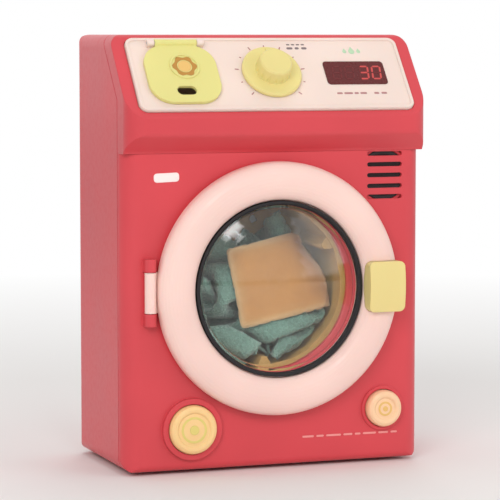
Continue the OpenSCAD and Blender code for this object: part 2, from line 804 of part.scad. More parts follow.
module detergent_lid() {
    low = panel_face + lid_lift;
    color(yellow) on_slope() difference() {
        union() {
            translate([lid_x, lid_v, low]) linear_extrude(lid_t) plate_2d(lid_w, lid_l, 13);
            translate([lid_x - lid_barrel_l / 2, lid_v + lid_l / 2 - 3, low])
                cube([lid_barrel_l, lid_axis_v - lid_v - lid_l / 2 + 3, lid_t]);
            translate([lid_x - lid_barrel_l / 2, lid_axis_v, lid_axis_n]) rotate([0, 90, 0])
                cylinder(h = lid_barrel_l, r = lid_barrel_r);
            // Raised ring on the lid's face.
            translate([lid_x + 2, lid_v + 5, low + lid_t - eps]) difference() {
                cylinder(h = 0.6, r = 8.5);
                translate([0, 0, -1]) cylinder(h = 3, r = 7.3);
            }
        }
        translate([lid_x - lid_barrel_l, lid_axis_v, lid_axis_n]) rotate([0, 90, 0])
            cylinder(h = 2 * lid_barrel_l, r = lid_pin_r + run_gap);
        // Finger slot.
        translate([lid_x, lid_v - lid_l / 2 + 8, low - 1]) linear_extrude(lid_t + 2) slot_2d(11, 6);
    }
}

module lid_pin() {
    pin_l = lid_barrel_l + 2 * lid_lug_l + 2 * fit_gap;
    color(steel) on_slope() translate([lid_x - pin_l / 2, lid_axis_v, lid_axis_n]) rotate([0, 90, 0])
        cylinder(h = pin_l, r = lid_pin_r);
}

/* Door */

door_gap = 0.5;
back_front = -door_gap - door_back_t;
arch_mid_r = (door_r + door_hole_r) / 2;
arch_half = (door_r - door_hole_r) / 2;
arch_foot = 5.5;
arch_t = 2.2;
flange_r = door_hole_r - fit_gap;
flange_t = 2;
back_hole_r = door_hole_r - 2;
dome_r = door_hole_r - 3.2;
plug_out_r = light_r - light_w / 2 - 2;
plug_in_r = plug_out_r - 3;
door_screw_r = arch_mid_r;
door_screw_turns = [30 : 60 : 330];

// Crown of the door ring: a soft arch from the outer edge to the hole, moved in by d.
function arch(d, steps = 16) = [for (k = [0 : steps])
    let (a = 180 * k / steps)
    [arch_mid_r + (arch_half - d) * cos(a), -arch_foot - (door_out - arch_foot - d) * pow(sin(a), 0.8)]];

// The room that the handle takes in the ring.
module handle_block(grow) {
    upright(door_r - handle_w / 2 + 0.5, door_z, -handle_out - 5, 0)
        plate_2d(handle_w + 2 * grow, handle_h + 2 * grow, 3 + grow);
}

module door_front_ring() {
    color(pink) difference() {
        union() {
            turned(0, door_z, concat([[door_r, back_front]], arch(0), [[door_hole_r, back_front],
                [door_hole_r + arch_t, back_front]], [for (i = [16 : -1 : 0]) arch(arch_t)[i]],
                [[door_r - arch_t, back_front]]));
            for (turn = door_screw_turns)
                bar(door_screw_r * cos(turn), door_z + door_screw_r * sin(turn), -door_out + 1, back_front,
                    3);
        }
        for (turn = door_screw_turns)
            bar(door_screw_r * cos(turn), door_z + door_screw_r * sin(turn), -door_out + 3.5, 0, pilot_r);
        handle_block(fit_gap / 2);
    }
}

module door_back_ring() {
    color(pink) difference() {
        union() {
            tube(0, door_z, back_front, -door_gap, back_hole_r, door_r - 2);
            tube(0, door_z, back_front, recess_d - door_gap, plug_in_r, plug_out_r);
            // Hinge arm and knuckle.
            translate([hinge_x, front_y + back_front, door_z - hinge_arm_h / 2])
                cube([-hinge_x - back_hole_r - 3, door_back_t, hinge_arm_h]);
            translate([hinge_x, front_y - hinge_out, door_z - hinge_arm_h / 2])
                cylinder(h = hinge_arm_h, r = knuckle_r);
            // Latch hook.
            slab(latch_x - 4, door_z, latch_w + 8, latch_h, back_front, -door_gap);
            slab(latch_x, door_z, latch_w, latch_h, back_front, recess_back);
        }
        translate([hinge_x, front_y - hinge_out, door_z - hinge_arm_h])
            cylinder(h = 2 * hinge_arm_h, r = hinge_pin_r + run_gap);
        for (turn = door_screw_turns) {
            bar(door_screw_r * cos(turn), door_z + door_screw_r * sin(turn), -door_out, 1, screw_r + 0.3);
            bar(door_screw_r * cos(turn), door_z + door_screw_r * sin(turn), -door_gap - 1.2, 1, 2.6);
        }
    }
}

module door_screws() {
    color(steel) for (turn = door_screw_turns)
        screw_from_back(door_screw_r * cos(turn), door_z + door_screw_r * sin(turn), -door_gap - 1.2,
            screw_r, 6, 2.3, 1.1);
}

// Arc of the window's dome from its edge to its middle, at a depth offset d.
function dome(edge_r, rise, base, steps = 10) =
    let (r = (edge_r * edge_r + rise * rise) / (2 * rise), half = asin(edge_r / r))
    [for (k = [0 : steps]) let (a = half * (1 - k / steps)) [r * sin(a), base - rise + r - r * cos(a)]];

module door_window() {
    base = back_front - flange_t;
    color([0.8, 0.9, 0.95, 0.35])
        turned(0, door_z, concat([[flange_r, back_front], [flange_r, base]], dome(dome_r, window_bulge, base),
            [for (i = [10 : -1 : 0]) dome(dome_r - window_t, window_bulge, base + window_t)[i]],
            [[dome_r - window_t, back_front]]));
}

module window_gasket() {
    base = back_front - flange_t;
    color(dark) turned(0, door_z, [[dome_r + 0.3, base], [dome_r + 0.3, base - 2], [dome_r + 1.2, base - 3],
        [flange_r - 0.3, base - 3], [flange_r - 0.3, base]]);
}

module door_handle() {
    color(yellow) difference() {
        intersection() {
            handle_block(0);
            union() {
                slab(door_r - handle_w / 2 + 0.5, door_z, handle_w + 2, handle_h + 2, -handle_out + 2,
                    back_front);
                // Soft crown, rounded towards the top and bottom.
                translate([0, front_y - handle_out + 60, door_z]) rotate([0, 90, 0])
                    cylinder(h = 3 * door_r, r = 60);
            }
            slab(0, door_z, 4 * door_r, 2 * door_r, -handle_out, back_front);
        }
        // Scoop for the finger tips in the outer side.
        translate([door_r + 6.5, front_y - arch_foot - 5, door_z - handle_h / 2 + 5])
            cylinder(h = handle_h - 10, r = 8);
    }
}

module hinge_pin() {
    color(steel) translate([hinge_x, front_y - hinge_out, door_z - hinge_arm_h / 2 - lug_h])
        cylinder(h = hinge_arm_h + 2 * lug_h, r = hinge_pin_r);
}

/* Drum and tub */

gear_cover_t = 2;
// The tub's back wall, both gear planes and their gaps lie behind the drum's end.
gear_stack = 2 * gear_face + 10.5;
drum_end = cabinet_d - wall - back_room - gear_stack;
drum_l = drum_end - drum_start;
drum_back_t = 2;
drum_fillet = 3.2;
drum_seam = drum_end - drum_back_t - drum_fillet;
hub_end = drum_end + 1;
lip_in_r = drum_r - 1.6;
lifter_turns = [30, 150, 270];
lifter_h = 6;
tub_back = hub_end + 1.5;
tub_back_t = 2.5;
tub_end = tub_back + tub_back_t;
plane_a = tub_end + 1.5;
plane_b = plane_a + gear_face + 0.5;
gears_end = plane_b + gear_face + 1;
cover_front = gears_end + 0.5;
bush_r = 6;

module drum() {
    color(yellow) union() {
        turned(0, door_z, [
            [lip_in_r, drum_start], [drum_r + drum_t, drum_start], [drum_r + drum_t, drum_seam],
            [drum_r, drum_seam], [drum_r, drum_start + 2.4], [lip_in_r, drum_start + 1.2]
        ]);
        // Lifters that tumble the laundry.
        for (turn = lifter_turns)
            translate([0, front_y + drum_start + 3, door_z]) rotate([0, -turn, 0])
                translate([drum_r + 0.5, 0, 0]) rotate([-90, 0, 0])
                    linear_extrude(drum_seam - drum_start - 3.4)
                        polygon([[0, -4.5], [-lifter_h, -1.6], [-lifter_h - 0.5, 0], [-lifter_h, 1.6],
                            [0, 4.5]]);
    }
}

// Dished back of the drum, joined to the wall at a seam inside the tub.
module drum_back() {
    inside = drum_end - drum_back_t;
    color(yellow) difference() {
        turned(0, door_z, [
            [drum_r, drum_seam], [drum_r + drum_t, drum_seam], [drum_r + drum_t, drum_end - 4],
            [drum_r + drum_t - 4, drum_end], [8, drum_end], [8, hub_end], [0, hub_end],
            [0, inside - 3], [9, inside - 3], [14, inside], [drum_r - drum_fillet, inside]
        ]);
        for (k = [0 : drum_holes - 1], ring = [0, 1])
            let (turn = 360 * (k + ring / 2) / drum_holes, at = 21 + 14 * ring)
            bar(at * cos(turn), door_z + at * sin(turn), drum_end - 8, drum_end + 1, 2.2);
        bar(0, door_z, inside, hub_end + 1, axle_r);
    }
}

module drum_axle() {
    color(steel) bar(0, door_z, drum_end - drum_back_t, cover_front + gear_cover_t, axle_r);
}

module drum_bush() {
    color([0.9, 0.9, 0.85]) difference() {
        union() {
            bar(0, door_z, hub_end + 0.3, tub_back, bush_r + 2);
            bar(0, door_z, hub_end + 0.3, plane_b - 0.7, bush_r - 0.5);
        }
        bar(0, door_z, 0, cabinet_d, axle_r + run_gap);
    }
}

idler_turn = -30;
idler_reach = gear_module * (drum_teeth + idler_small_teeth) / 2;
idler_x = idler_reach * cos(idler_turn);
idler_z = door_z + idler_reach * sin(idler_turn);
pinion_reach = gear_module * (idler_large_teeth + pinion_teeth) / 2;
motor_x = idler_x + pinion_reach * cos(idler_turn);
motor_z = idler_z + pinion_reach * sin(idler_turn);
motor_l = 25;
idler_pin_r = 2;
cover_post_turns = [60, 150, 240];
cover_post_reach = gear_module * drum_teeth / 2 + 8;
tub_flange_r = boss_ring_r + tub_boss_r;

module tub() {
    color([0.88, 0.88, 0.86]) difference() {
        union() {
            turned(0, door_z, [[mouth_r + 3, mouth_end], [tub_r + 4, mouth_end], [tub_r + 4, mouth_end + 2],
                [tub_r + 2, mouth_end + 2], [tub_r + 2, tub_end], [bush_r - 0.5, tub_end],
                [bush_r - 0.5, tub_back],
                [tub_r, tub_back], [tub_r, mouth_end + 2], [mouth_r + 3, mouth_end + 2]]);
            // Ears that the tub is screwed on by.
            for (turn = tub_boss_turns)
                translate([0, front_y + mouth_end, door_z]) rotate([0, -turn, 0]) {
                    translate([tub_r + 1, 0, -tub_boss_r]) cube([boss_ring_r - tub_r - 1, 2, 2 * tub_boss_r]);
                    translate([boss_ring_r, 0, 0]) rotate([-90, 0, 0]) cylinder(h = 2, r = tub_boss_r);
                }
            // Motor plate, held by the back wall, and the pad that the motor seats on.
            translate([0, front_y + tub_back + 0.4, door_z]) rotate([0, -idler_turn, 0])
                translate([tub_r - 6, 0, -motor_r])
                    cube([idler_reach + pinion_reach - tub_r + 6, tub_back_t - 0.8, 2 * motor_r]);
            bar(motor_x, motor_z, tub_back, tub_end, motor_r + 2);
            for (turn = cover_post_turns)
                bar(cover_post_reach * cos(turn), door_z + cover_post_reach * sin(turn), tub_back,
                    cover_front, 3);
        }
        for (turn = tub_boss_turns)
            bar(boss_ring_r * cos(turn), door_z + boss_ring_r * sin(turn), 0, mouth_end + 3, screw_r + 0.3);
        for (turn = cover_post_turns)
            bar(cover_post_reach * cos(turn), door_z + cover_post_reach * sin(turn), cover_front - 8,
                cover_front + 1, pilot_r);
        bar(idler_x, idler_z, tub_back + 0.5, tub_end + 1, idler_pin_r);
        bar(motor_x, motor_z, tub_back - 1, tub_end + 1, 3 + run_gap);
    }
}

module tub_screws() {
    color(steel) for (turn = tub_boss_turns)
        screw_from_back(boss_ring_r * cos(turn), door_z + boss_ring_r * sin(turn), mouth_end + 2, screw_r,
            6.5, 2.5, 1.8);
}

/* Gears */

pressure = 20;

// Angle of the involute of a base circle at radius r, in degrees.
function involute(base, r) = r <= base ? 0 : let (a = acos(base / r)) (tan(a) - a * PI / 180) * 180 / PI;

// Outline of a spur gear with one tooth centred on the X axis.
function gear_points(teeth, slack = 0.16) =
    let (pitch_r = gear_module * teeth / 2, base = pitch_r * cos(pressure),
        tip = pitch_r + 0.85 * gear_module,
         root = pitch_r - 1.2 * gear_module,
         half = 90 / teeth - slack * 90 / (PI * pitch_r) + involute(base, pitch_r),
         heights = [0, 0.35, 0.7, 1], low = max(base, root),
         flank = [for (h = heights) let (r = low + (tip - low) * h) [r, half - involute(base, r)]],
         root_half = min(half + 3, 180 / teeth - 0.5))
    [for (k = [0 : teeth - 1]) let (mid = 360 * k / teeth)
        each concat([[root, mid - root_half]], [for (f = flank) [f[0], mid - f[1]]],
                    [for (i = [len(flank) - 1 : -1 : 0]) [flank[i][0], mid + flank[i][1]]],
                    [[root, mid + root_half]])];

module gear_2d(teeth) {
    polygon([for (p = gear_points(teeth)) p[0] * [cos(p[1]), sin(p[1])]]);
}

// Gear between two depths, turned so that its first tooth points along the given direction.
module gear(x, z, from, to, teeth, turn) {
    upright(x, z, from, to) rotate(turn) gear_2d(teeth);
}

// Turn of a gear on the line of centres so that it has a gap where its partner has a tooth.
function mesh_turn(partner_teeth, partner_turn, own_teeth) =
    idler_turn + 180 + 180 / own_teeth + (idler_turn - partner_turn) * partner_teeth / own_teeth;

small_turn = mesh_turn(drum_teeth, idler_turn, idler_small_teeth);
pinion_turn = mesh_turn(idler_large_teeth, idler_turn, pinion_teeth);

module drum_gear() {
    window_at = gear_module * drum_teeth / 4 + 1;
    color([0.93, 0.93, 0.9]) difference() {
        union() {
            gear(0, door_z, plane_b, plane_b + gear_face, drum_teeth, idler_turn);
            bar(0, door_z, plane_b - 0.3, gears_end, axle_r + 4);
        }
        bar(0, door_z, 0, cabinet_d, axle_r);
        // Lightening windows.
        for (turn = [0 : 60 : 300])
            bar(window_at * cos(turn), door_z + window_at * sin(turn), 0, cabinet_d, window_at * 0.38);
    }
}

module idler_gear() {
    color([0.93, 0.93, 0.9]) difference() {
        union() {
            gear(idler_x, idler_z, plane_a, plane_a + gear_face, idler_large_teeth, idler_turn);
            bar(idler_x, idler_z, plane_a - 1.2, plane_b, 5);
            gear(idler_x, idler_z, plane_b - eps, plane_b + gear_face, idler_small_teeth, small_turn);
            bar(idler_x, idler_z, plane_b, gears_end, 4);
        }
        bar(idler_x, idler_z, 0, cabinet_d, idler_pin_r + run_gap);
    }
}

module idler_pin() {
    color(steel) bar(idler_x, idler_z, tub_back + 0.5, cover_front + gear_cover_t, idler_pin_r);
}

module motor() {
    color(steel) difference() {
        union() {
            intersection() {
                bar(motor_x, motor_z, tub_back - motor_l, tub_back, motor_r);
                slab(motor_x, motor_z, 2 * motor_r, 15.4, 0, cabinet_d);
            }
            bar(motor_x, motor_z, tub_back - eps, tub_back + 1.6, 3);
            bar(motor_x, motor_z, tub_back - motor_l - 1.5, tub_back - motor_l + eps, 4);
        }
        bar(motor_x, motor_z, tub_back - 6, tub_back + 5, 1 + run_gap);
    }
}

module motor_shaft() {
    color(steel) bar(motor_x, motor_z, tub_back - 5.5, plane_a + gear_face + 0.5, 1);
}

module motor_pinion() {
    color([0.93, 0.93, 0.9]) difference() {
        gear(motor_x, motor_z, plane_a, plane_a + gear_face, pinion_teeth, pinion_turn);
        bar(motor_x, motor_z, 0, cabinet_d, 1);
    }
}

module gearbox_cover() {
    color(dark) difference() {
        bar(0, door_z, cover_front, cover_front + gear_cover_t, cover_post_reach + 4);
        bar(0, door_z, 0, cabinet_d, axle_r + run_gap);
        bar(idler_x, idler_z, 0, cabinet_d, idler_pin_r);
        for (turn = cover_post_turns)
            bar(cover_post_reach * cos(turn), door_z + cover_post_reach * sin(turn), 0, cabinet_d,
                screw_r + 0.3);
        for (turn = [0 : 60 : 300])
            bar(18 * cos(turn), door_z + 18 * sin(turn), 0, cabinet_d, 6);
    }
}

module gearbox_screws() {
    color(steel) for (turn = cover_post_turns)
        screw_from_back(cover_post_reach * cos(turn), door_z + cover_post_reach * sin(turn),
            cover_front + gear_cover_t, screw_r, 8, 2.5, 1.8);
}

/* Buttons */

flange_back = wall + 0.3;
button_flange_t = 1.5;
plunger_tip = flange_back + button_travel + 3.2;

// Cap with a rounded rim and a sunk middle, and the flange that keeps it in the shell.
module button(x, z, r) {
    color(yellow) {
        turned(x, z, [[0, flange_back + button_flange_t + 0.6], [3, flange_back + button_flange_t + 0.6],
            [3, flange_back + button_flange_t], [r + 1.6, flange_back + button_flange_t],
            [r + 1.6, flange_back],
            [r, flange_back], [r, -button_out + 2.4], [r - 0.7, -button_out + 0.8], [r - 2.2, -button_out],
            [r - 3.6, -button_out + 0.2], [r - 4.6, -button_out + 1.2], [0, -button_out + 0.6]]);
    }
}

// Switch on its small board, with its plunger towards the button.
module button_switch(x, z) {
    color(dark) {
        bar(x, z, plunger_tip, bracket_front - 2.3, 1.7);
        slab(x, z, 6, 6, bracket_front - 2.4, bracket_front);
    }
}

module button_spring(x, z, r) {
    low = flange_back + button_flange_t;
    color(steel) translate([x, front_y + low, z]) rotate([-90, 0, 0])
        coil_spring(r, r, 0.5, bracket_front - low, 4, 12);
}

// Bracket plate across two bosses, a or b being how far they stand to each side.
module button_bracket(x, z, a, b) {
    color(dark) difference() {
        upright(x, z, bracket_front, bracket_front + bracket_t) {
            circle(10.5);
            if (a > 0) slot_2d(2 * a + 8, 8);
            if (b > 0) rotate(90) slot_2d(2 * b + 8, 8);
        }
        for (s = [-1, 1]) bar(x + s * a, z + s * b, 0, cabinet_d, screw_r + 0.3);
    }
}

module start_button() { button(start_x, start_z, start_r); }
module sound_button() { button(sound_x, sound_z, sound_r); }
module start_switch() { button_switch(start_x, start_z); }
module sound_switch() { button_switch(sound_x, sound_z); }
module start_spring() { button_spring(start_x, start_z, 8); }
module sound_spring() { button_spring(sound_x, sound_z, 7); }
module start_bracket() { button_bracket(start_x, start_z, start_bracket_reach, 0); }
module sound_bracket() { button_bracket(sound_x, sound_z, 0, sound_bracket_reach); }

module bracket_screws() {
    color(steel) for (p = bracket_screw_places)
        screw_from_back(p.x, p[1], bracket_front + bracket_t, screw_r, 8, 2.5, 1.8);
}

/* Speaker */

module speaker() {
    color(dark) turned(speaker_x, speaker_z, [[0, speaker_front + 1.6], [speaker_r - 5, speaker_front + 0.8],
        [speaker_r - 2, speaker_front], [speaker_r, speaker_front],
        [speaker_r, speaker_front + speaker_rim_t],
        [speaker_r - 1.5, speaker_front + speaker_rim_t],
        [speaker_r - 3.5, speaker_front + speaker_rim_t + 2],
        [8, speaker_front + speaker_rim_t + 2.5],
        [8, speaker_front + 8], [0, speaker_front + 8]]);
}

// Plate that presses the speaker's rim down, with an ear for each of its screws.
module speaker_clamp() {
    color(steel) difference() {
        upright(speaker_x, speaker_z, speaker_front + speaker_rim_t, speaker_front + speaker_rim_t + 1) {
            circle(speaker_r + 1);
            for (p = clamp_screw_places) translate([p.x - speaker_x, p[1] - speaker_z]) circle(2.8);
            for (turn = [180, 270]) rotate(turn) translate([0, -2.8]) square([clamp_reach, 5.6]);
        }
        bar(speaker_x, speaker_z, 0, cabinet_d, speaker_r - 0.9);
        for (p = clamp_screw_places) bar(p.x, p[1], 0, cabinet_d, screw_r + 0.3);
    }
}

module clamp_screws() {
    color(steel) for (p = clamp_screw_places)
        screw_from_back(p.x, p[1], speaker_front + speaker_rim_t + 1, screw_r, 2.8, 2.4, 1.6);
}

/* Laundry */

laundry_r = drum_r - 0.4;
laundry_front = drum_start + 3;
laundry_back = drum_end - drum_back_t - 4;
laundry_side = 34;
heap_gap = 0.8;

// Radius of the laundry's underside at an angle: it lies in the drum and over the lowest lifter.
function bed_r(turn) = laundry_r - (lifter_h + 0.6) * exp(-pow((turn - 270) / 8, 2));

// Height of the towel's top above the drum's middle.
function towel_top(x, d) = -3 - 0.0035 * (x + 12) * (x + 12) + fold_depth * sin(x * 17 + d * 6) * 0.8
    + fold_depth * 0.7 * sin(x * 7 - d * 11);

// Height of the upper cloth's top, a crown that leans to the right.
function cloth_top(x, d) = towel_top(x, d) + 0.5 + laundry_crown * exp(-pow((x - 10) / 17, 2))
    + fold_depth * sin(x * 21 - d * 5 + 40) * 0.6;

// Closed body between a lower and an upper line at each of several depths.
module heap(low_line, high_line) {
    n = len(low_line[0]);
    rings = len(low_line);
    points = [for (i = [0 : rings - 1]) each concat(low_line[i],
        [for (k = [n - 1 : -1 : 0]) high_line[i][k]])];
    polyhedron(points, concat(flipped(strip(n, 0)), side_faces(rings, 2 * n), strip(n, (rings - 1) * 2 * n)));
}

heap_depths = [for (i = [0 : 8]) laundry_front + (laundry_back - laundry_front) * i / 8];

module laundry_towel() {
    turns = [for (k = [0 : 36]) 184 + 172 * k / 36];
    low = [for (d = heap_depths) [for (a = turns)
        [bed_r(a) * cos(a), front_y + d, door_z + bed_r(a) * sin(a)]]];
    high = [for (d = heap_depths) [for (a = turns) let (x = bed_r(a) * cos(a))
        [x, front_y + d, door_z + max(towel_top(x, d), bed_r(a) * sin(a) + 0.8)]]];
    color([0.42, 0.58, 0.52]) heap(low, high);
}

module laundry_cloth() {
    xs = [for (k = [0 : 14]) -laundry_side / 2 + 10 + laundry_side * (k / 14)];
    low = [for (d = heap_depths) [for (x = xs) [x, front_y + d, door_z + towel_top(x, d) + heap_gap]]];
    high = [for (d = heap_depths) [for (x = xs) [x, front_y + d, door_z + cloth_top(x, d) + heap_gap + 0.6]]];
    color([0.85, 0.65, 0.36]) heap(low, high);
}

front_shell();
rear_shell();
light_ring();
ring_leds();
control_panel();
display_lens();
mouth_ring();
display_module();
main_board();
board_screws();
rotary_switch();
program_knob();
knob_spindle();
detergent_cup();
detergent_lid();
lid_pin();
door_front_ring();
door_back_ring();
door_window();
window_gasket();
door_handle();
door_screws();
hinge_pin();
drum();
drum_back();
drum_axle();
drum_gear();
drum_bush();
tub();
tub_screws();
idler_gear();
idler_pin();
motor();
motor_shaft();
motor_pinion();
gearbox_cover();
gearbox_screws();
start_button();
start_spring();
start_switch();
start_bracket();
sound_button();
sound_spring();
sound_switch();
sound_bracket();
bracket_screws();
speaker();
speaker_clamp();
clamp_screws();
batteries();
battery_contacts();
battery_cover();
battery_cover_screw();
housing_screws();
feet();
laundry_towel();
laundry_cloth();
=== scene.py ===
"""Visual model of a toy washing machine, dressed over its CAD frame.

Each sub-assembly of the machine is a class that holds its sizes, builds what the CAD solids lack
(printed marks, lit digits, laundry) and gives every node and piece its finish. The model is in metres,
in the frame of the CAD. Outlines of printed marks are in millimetres on their plane.
"""

import logging
import math
from collections.abc import Callable
from dataclasses import dataclass
from enum import Enum

import bmesh
import bpy
import numpy as np
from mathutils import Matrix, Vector


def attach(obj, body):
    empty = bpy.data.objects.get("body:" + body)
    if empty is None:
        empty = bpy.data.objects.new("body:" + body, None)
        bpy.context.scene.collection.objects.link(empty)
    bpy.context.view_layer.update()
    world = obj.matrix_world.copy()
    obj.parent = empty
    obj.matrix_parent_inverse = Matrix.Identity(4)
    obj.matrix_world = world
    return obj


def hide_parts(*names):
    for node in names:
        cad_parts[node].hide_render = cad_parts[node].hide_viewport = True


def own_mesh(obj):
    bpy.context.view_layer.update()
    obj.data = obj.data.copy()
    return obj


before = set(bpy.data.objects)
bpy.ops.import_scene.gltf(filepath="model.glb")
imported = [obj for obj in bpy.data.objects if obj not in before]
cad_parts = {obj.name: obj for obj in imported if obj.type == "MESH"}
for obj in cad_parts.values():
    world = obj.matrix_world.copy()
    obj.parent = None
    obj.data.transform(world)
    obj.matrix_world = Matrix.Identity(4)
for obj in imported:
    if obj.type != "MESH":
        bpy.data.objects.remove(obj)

MM = 0.001
log = logging.getLogger("toy_washing_machine")


def srgb(red: int, green: int, blue: int) -> tuple[float, float, float, float]:
    """Turns a colour as it is seen into the linear colour that shaders take.

    Args:
        red: Red, 0 to 255.
        green: Green, 0 to 255.
        blue: Blue, 0 to 255.

    Returns:
        The linear colour with full alpha.
    """
    parts = [c / 255 for c in (red, green, blue)]
    linear = [c / 12.92 if c <= 0.04045 else ((c + 0.055) / 1.055) ** 2.4 for c in parts]
    return (*linear, 1.0)


def shaded(tone: tuple[float, ...], share: float) -> tuple[float, float, float, float]:
    """Returns a linear colour made darker or lighter by a share.

    Args:
        tone: The linear colour.
        share: What its red, green and blue are multiplied by.
    """
    return (*[min(1.0, c * share) for c in tone[:3]], 1.0)


# ---- Shader building ----

Colour = tuple[float, ...]
Socket = bpy.types.NodeSocket
Outputs = bpy.types.bpy_prop_collection
VALUE, VECTOR = "NodeSocketFloat", "NodeSocketVector"


class Graph:
    """A node tree that is built by short calls."""

    def __init__(self, tree: bpy.types.NodeTree) -> None:
        """Starts with an empty tree."""
        self.tree = tree
        tree.nodes.clear()

    def add(self, kind: str, inputs: dict | None = None, **settings: object) -> bpy.types.Node:
        """Adds a node.

        Args:
            kind: Blender's name of the node type.
            inputs: Values or sockets for its inputs, by name or number.
            settings: Properties of the node itself.

        Returns:
            The new node.
        """
        node = self.tree.nodes.new(kind)
        for name, value in settings.items():
            setattr(node, name, value)
        for key, value in (inputs or {}).items():
            if isinstance(value, Socket):
                self.tree.links.new(value, node.inputs[key])
            else:
                node.inputs[key].default_value = value
        return node

    def group(self, tree: bpy.types.NodeTree, inputs: dict | None = None) -> Outputs:
        """Places a shared node group with its own input values and returns its outputs."""
        return self.add("ShaderNodeGroup", inputs, node_tree=tree).outputs

    def mix(self, share: object, first: object, second: object) -> Socket:
        """Mixes two colours and returns the mixed colour's socket."""
        return self.add("ShaderNodeMix", {0: share, 6: first, 7: second}, data_type="RGBA").outputs[2]

    def span(self, value: object, low: float, high: float, to_low: float, to_high: float) -> Socket:
        """Maps a value from one range to another, clamped, and returns the result's socket."""
        inputs = {"Value": value, "From Min": low, "From Max": high, "To Min": to_low, "To Max": to_high}
        return self.add("ShaderNodeMapRange", inputs).outputs["Result"]

    def math(self, operation: str, first: object, second: object = 0.0) -> Socket:
        """Combines two values and returns the result's socket."""
        return self.add("ShaderNodeMath", {0: first, 1: second}, operation=operation).outputs[0]

    def place(self) -> Socket:
        """Returns the place on the object's own axes."""
        return self.add("ShaderNodeTexCoord").outputs["Object"]

    def noise(self, place: Socket, scale: object, detail: float, roughness: float = 0.5) -> Socket:
        """Returns a noise over a place."""
        inputs = {"Vector": place, "Scale": scale, "Detail": detail, "Roughness": roughness}
        return self.add("ShaderNodeTexNoise", inputs).outputs[0]

    def bump(self, strength: float, distance: float, height: Socket, **under: Socket) -> Socket:
        """Turns a height into a normal, laid over the Normal where one is given."""
        inputs = {"Strength": strength, "Distance": distance, "Height": height, **under}
        return self.add("ShaderNodeBump", inputs).outputs[0]

    def surface(self, shader: Socket) -> None:
        """Connects a shader to the material's output."""
        self.add("ShaderNodeOutputMaterial", {"Surface": shader})

    def principled(self, inputs: dict) -> None:
        """Closes a material with a Principled shader that has these inputs."""
        self.surface(self.add("ShaderNodeBsdfPrincipled", inputs).outputs[0])


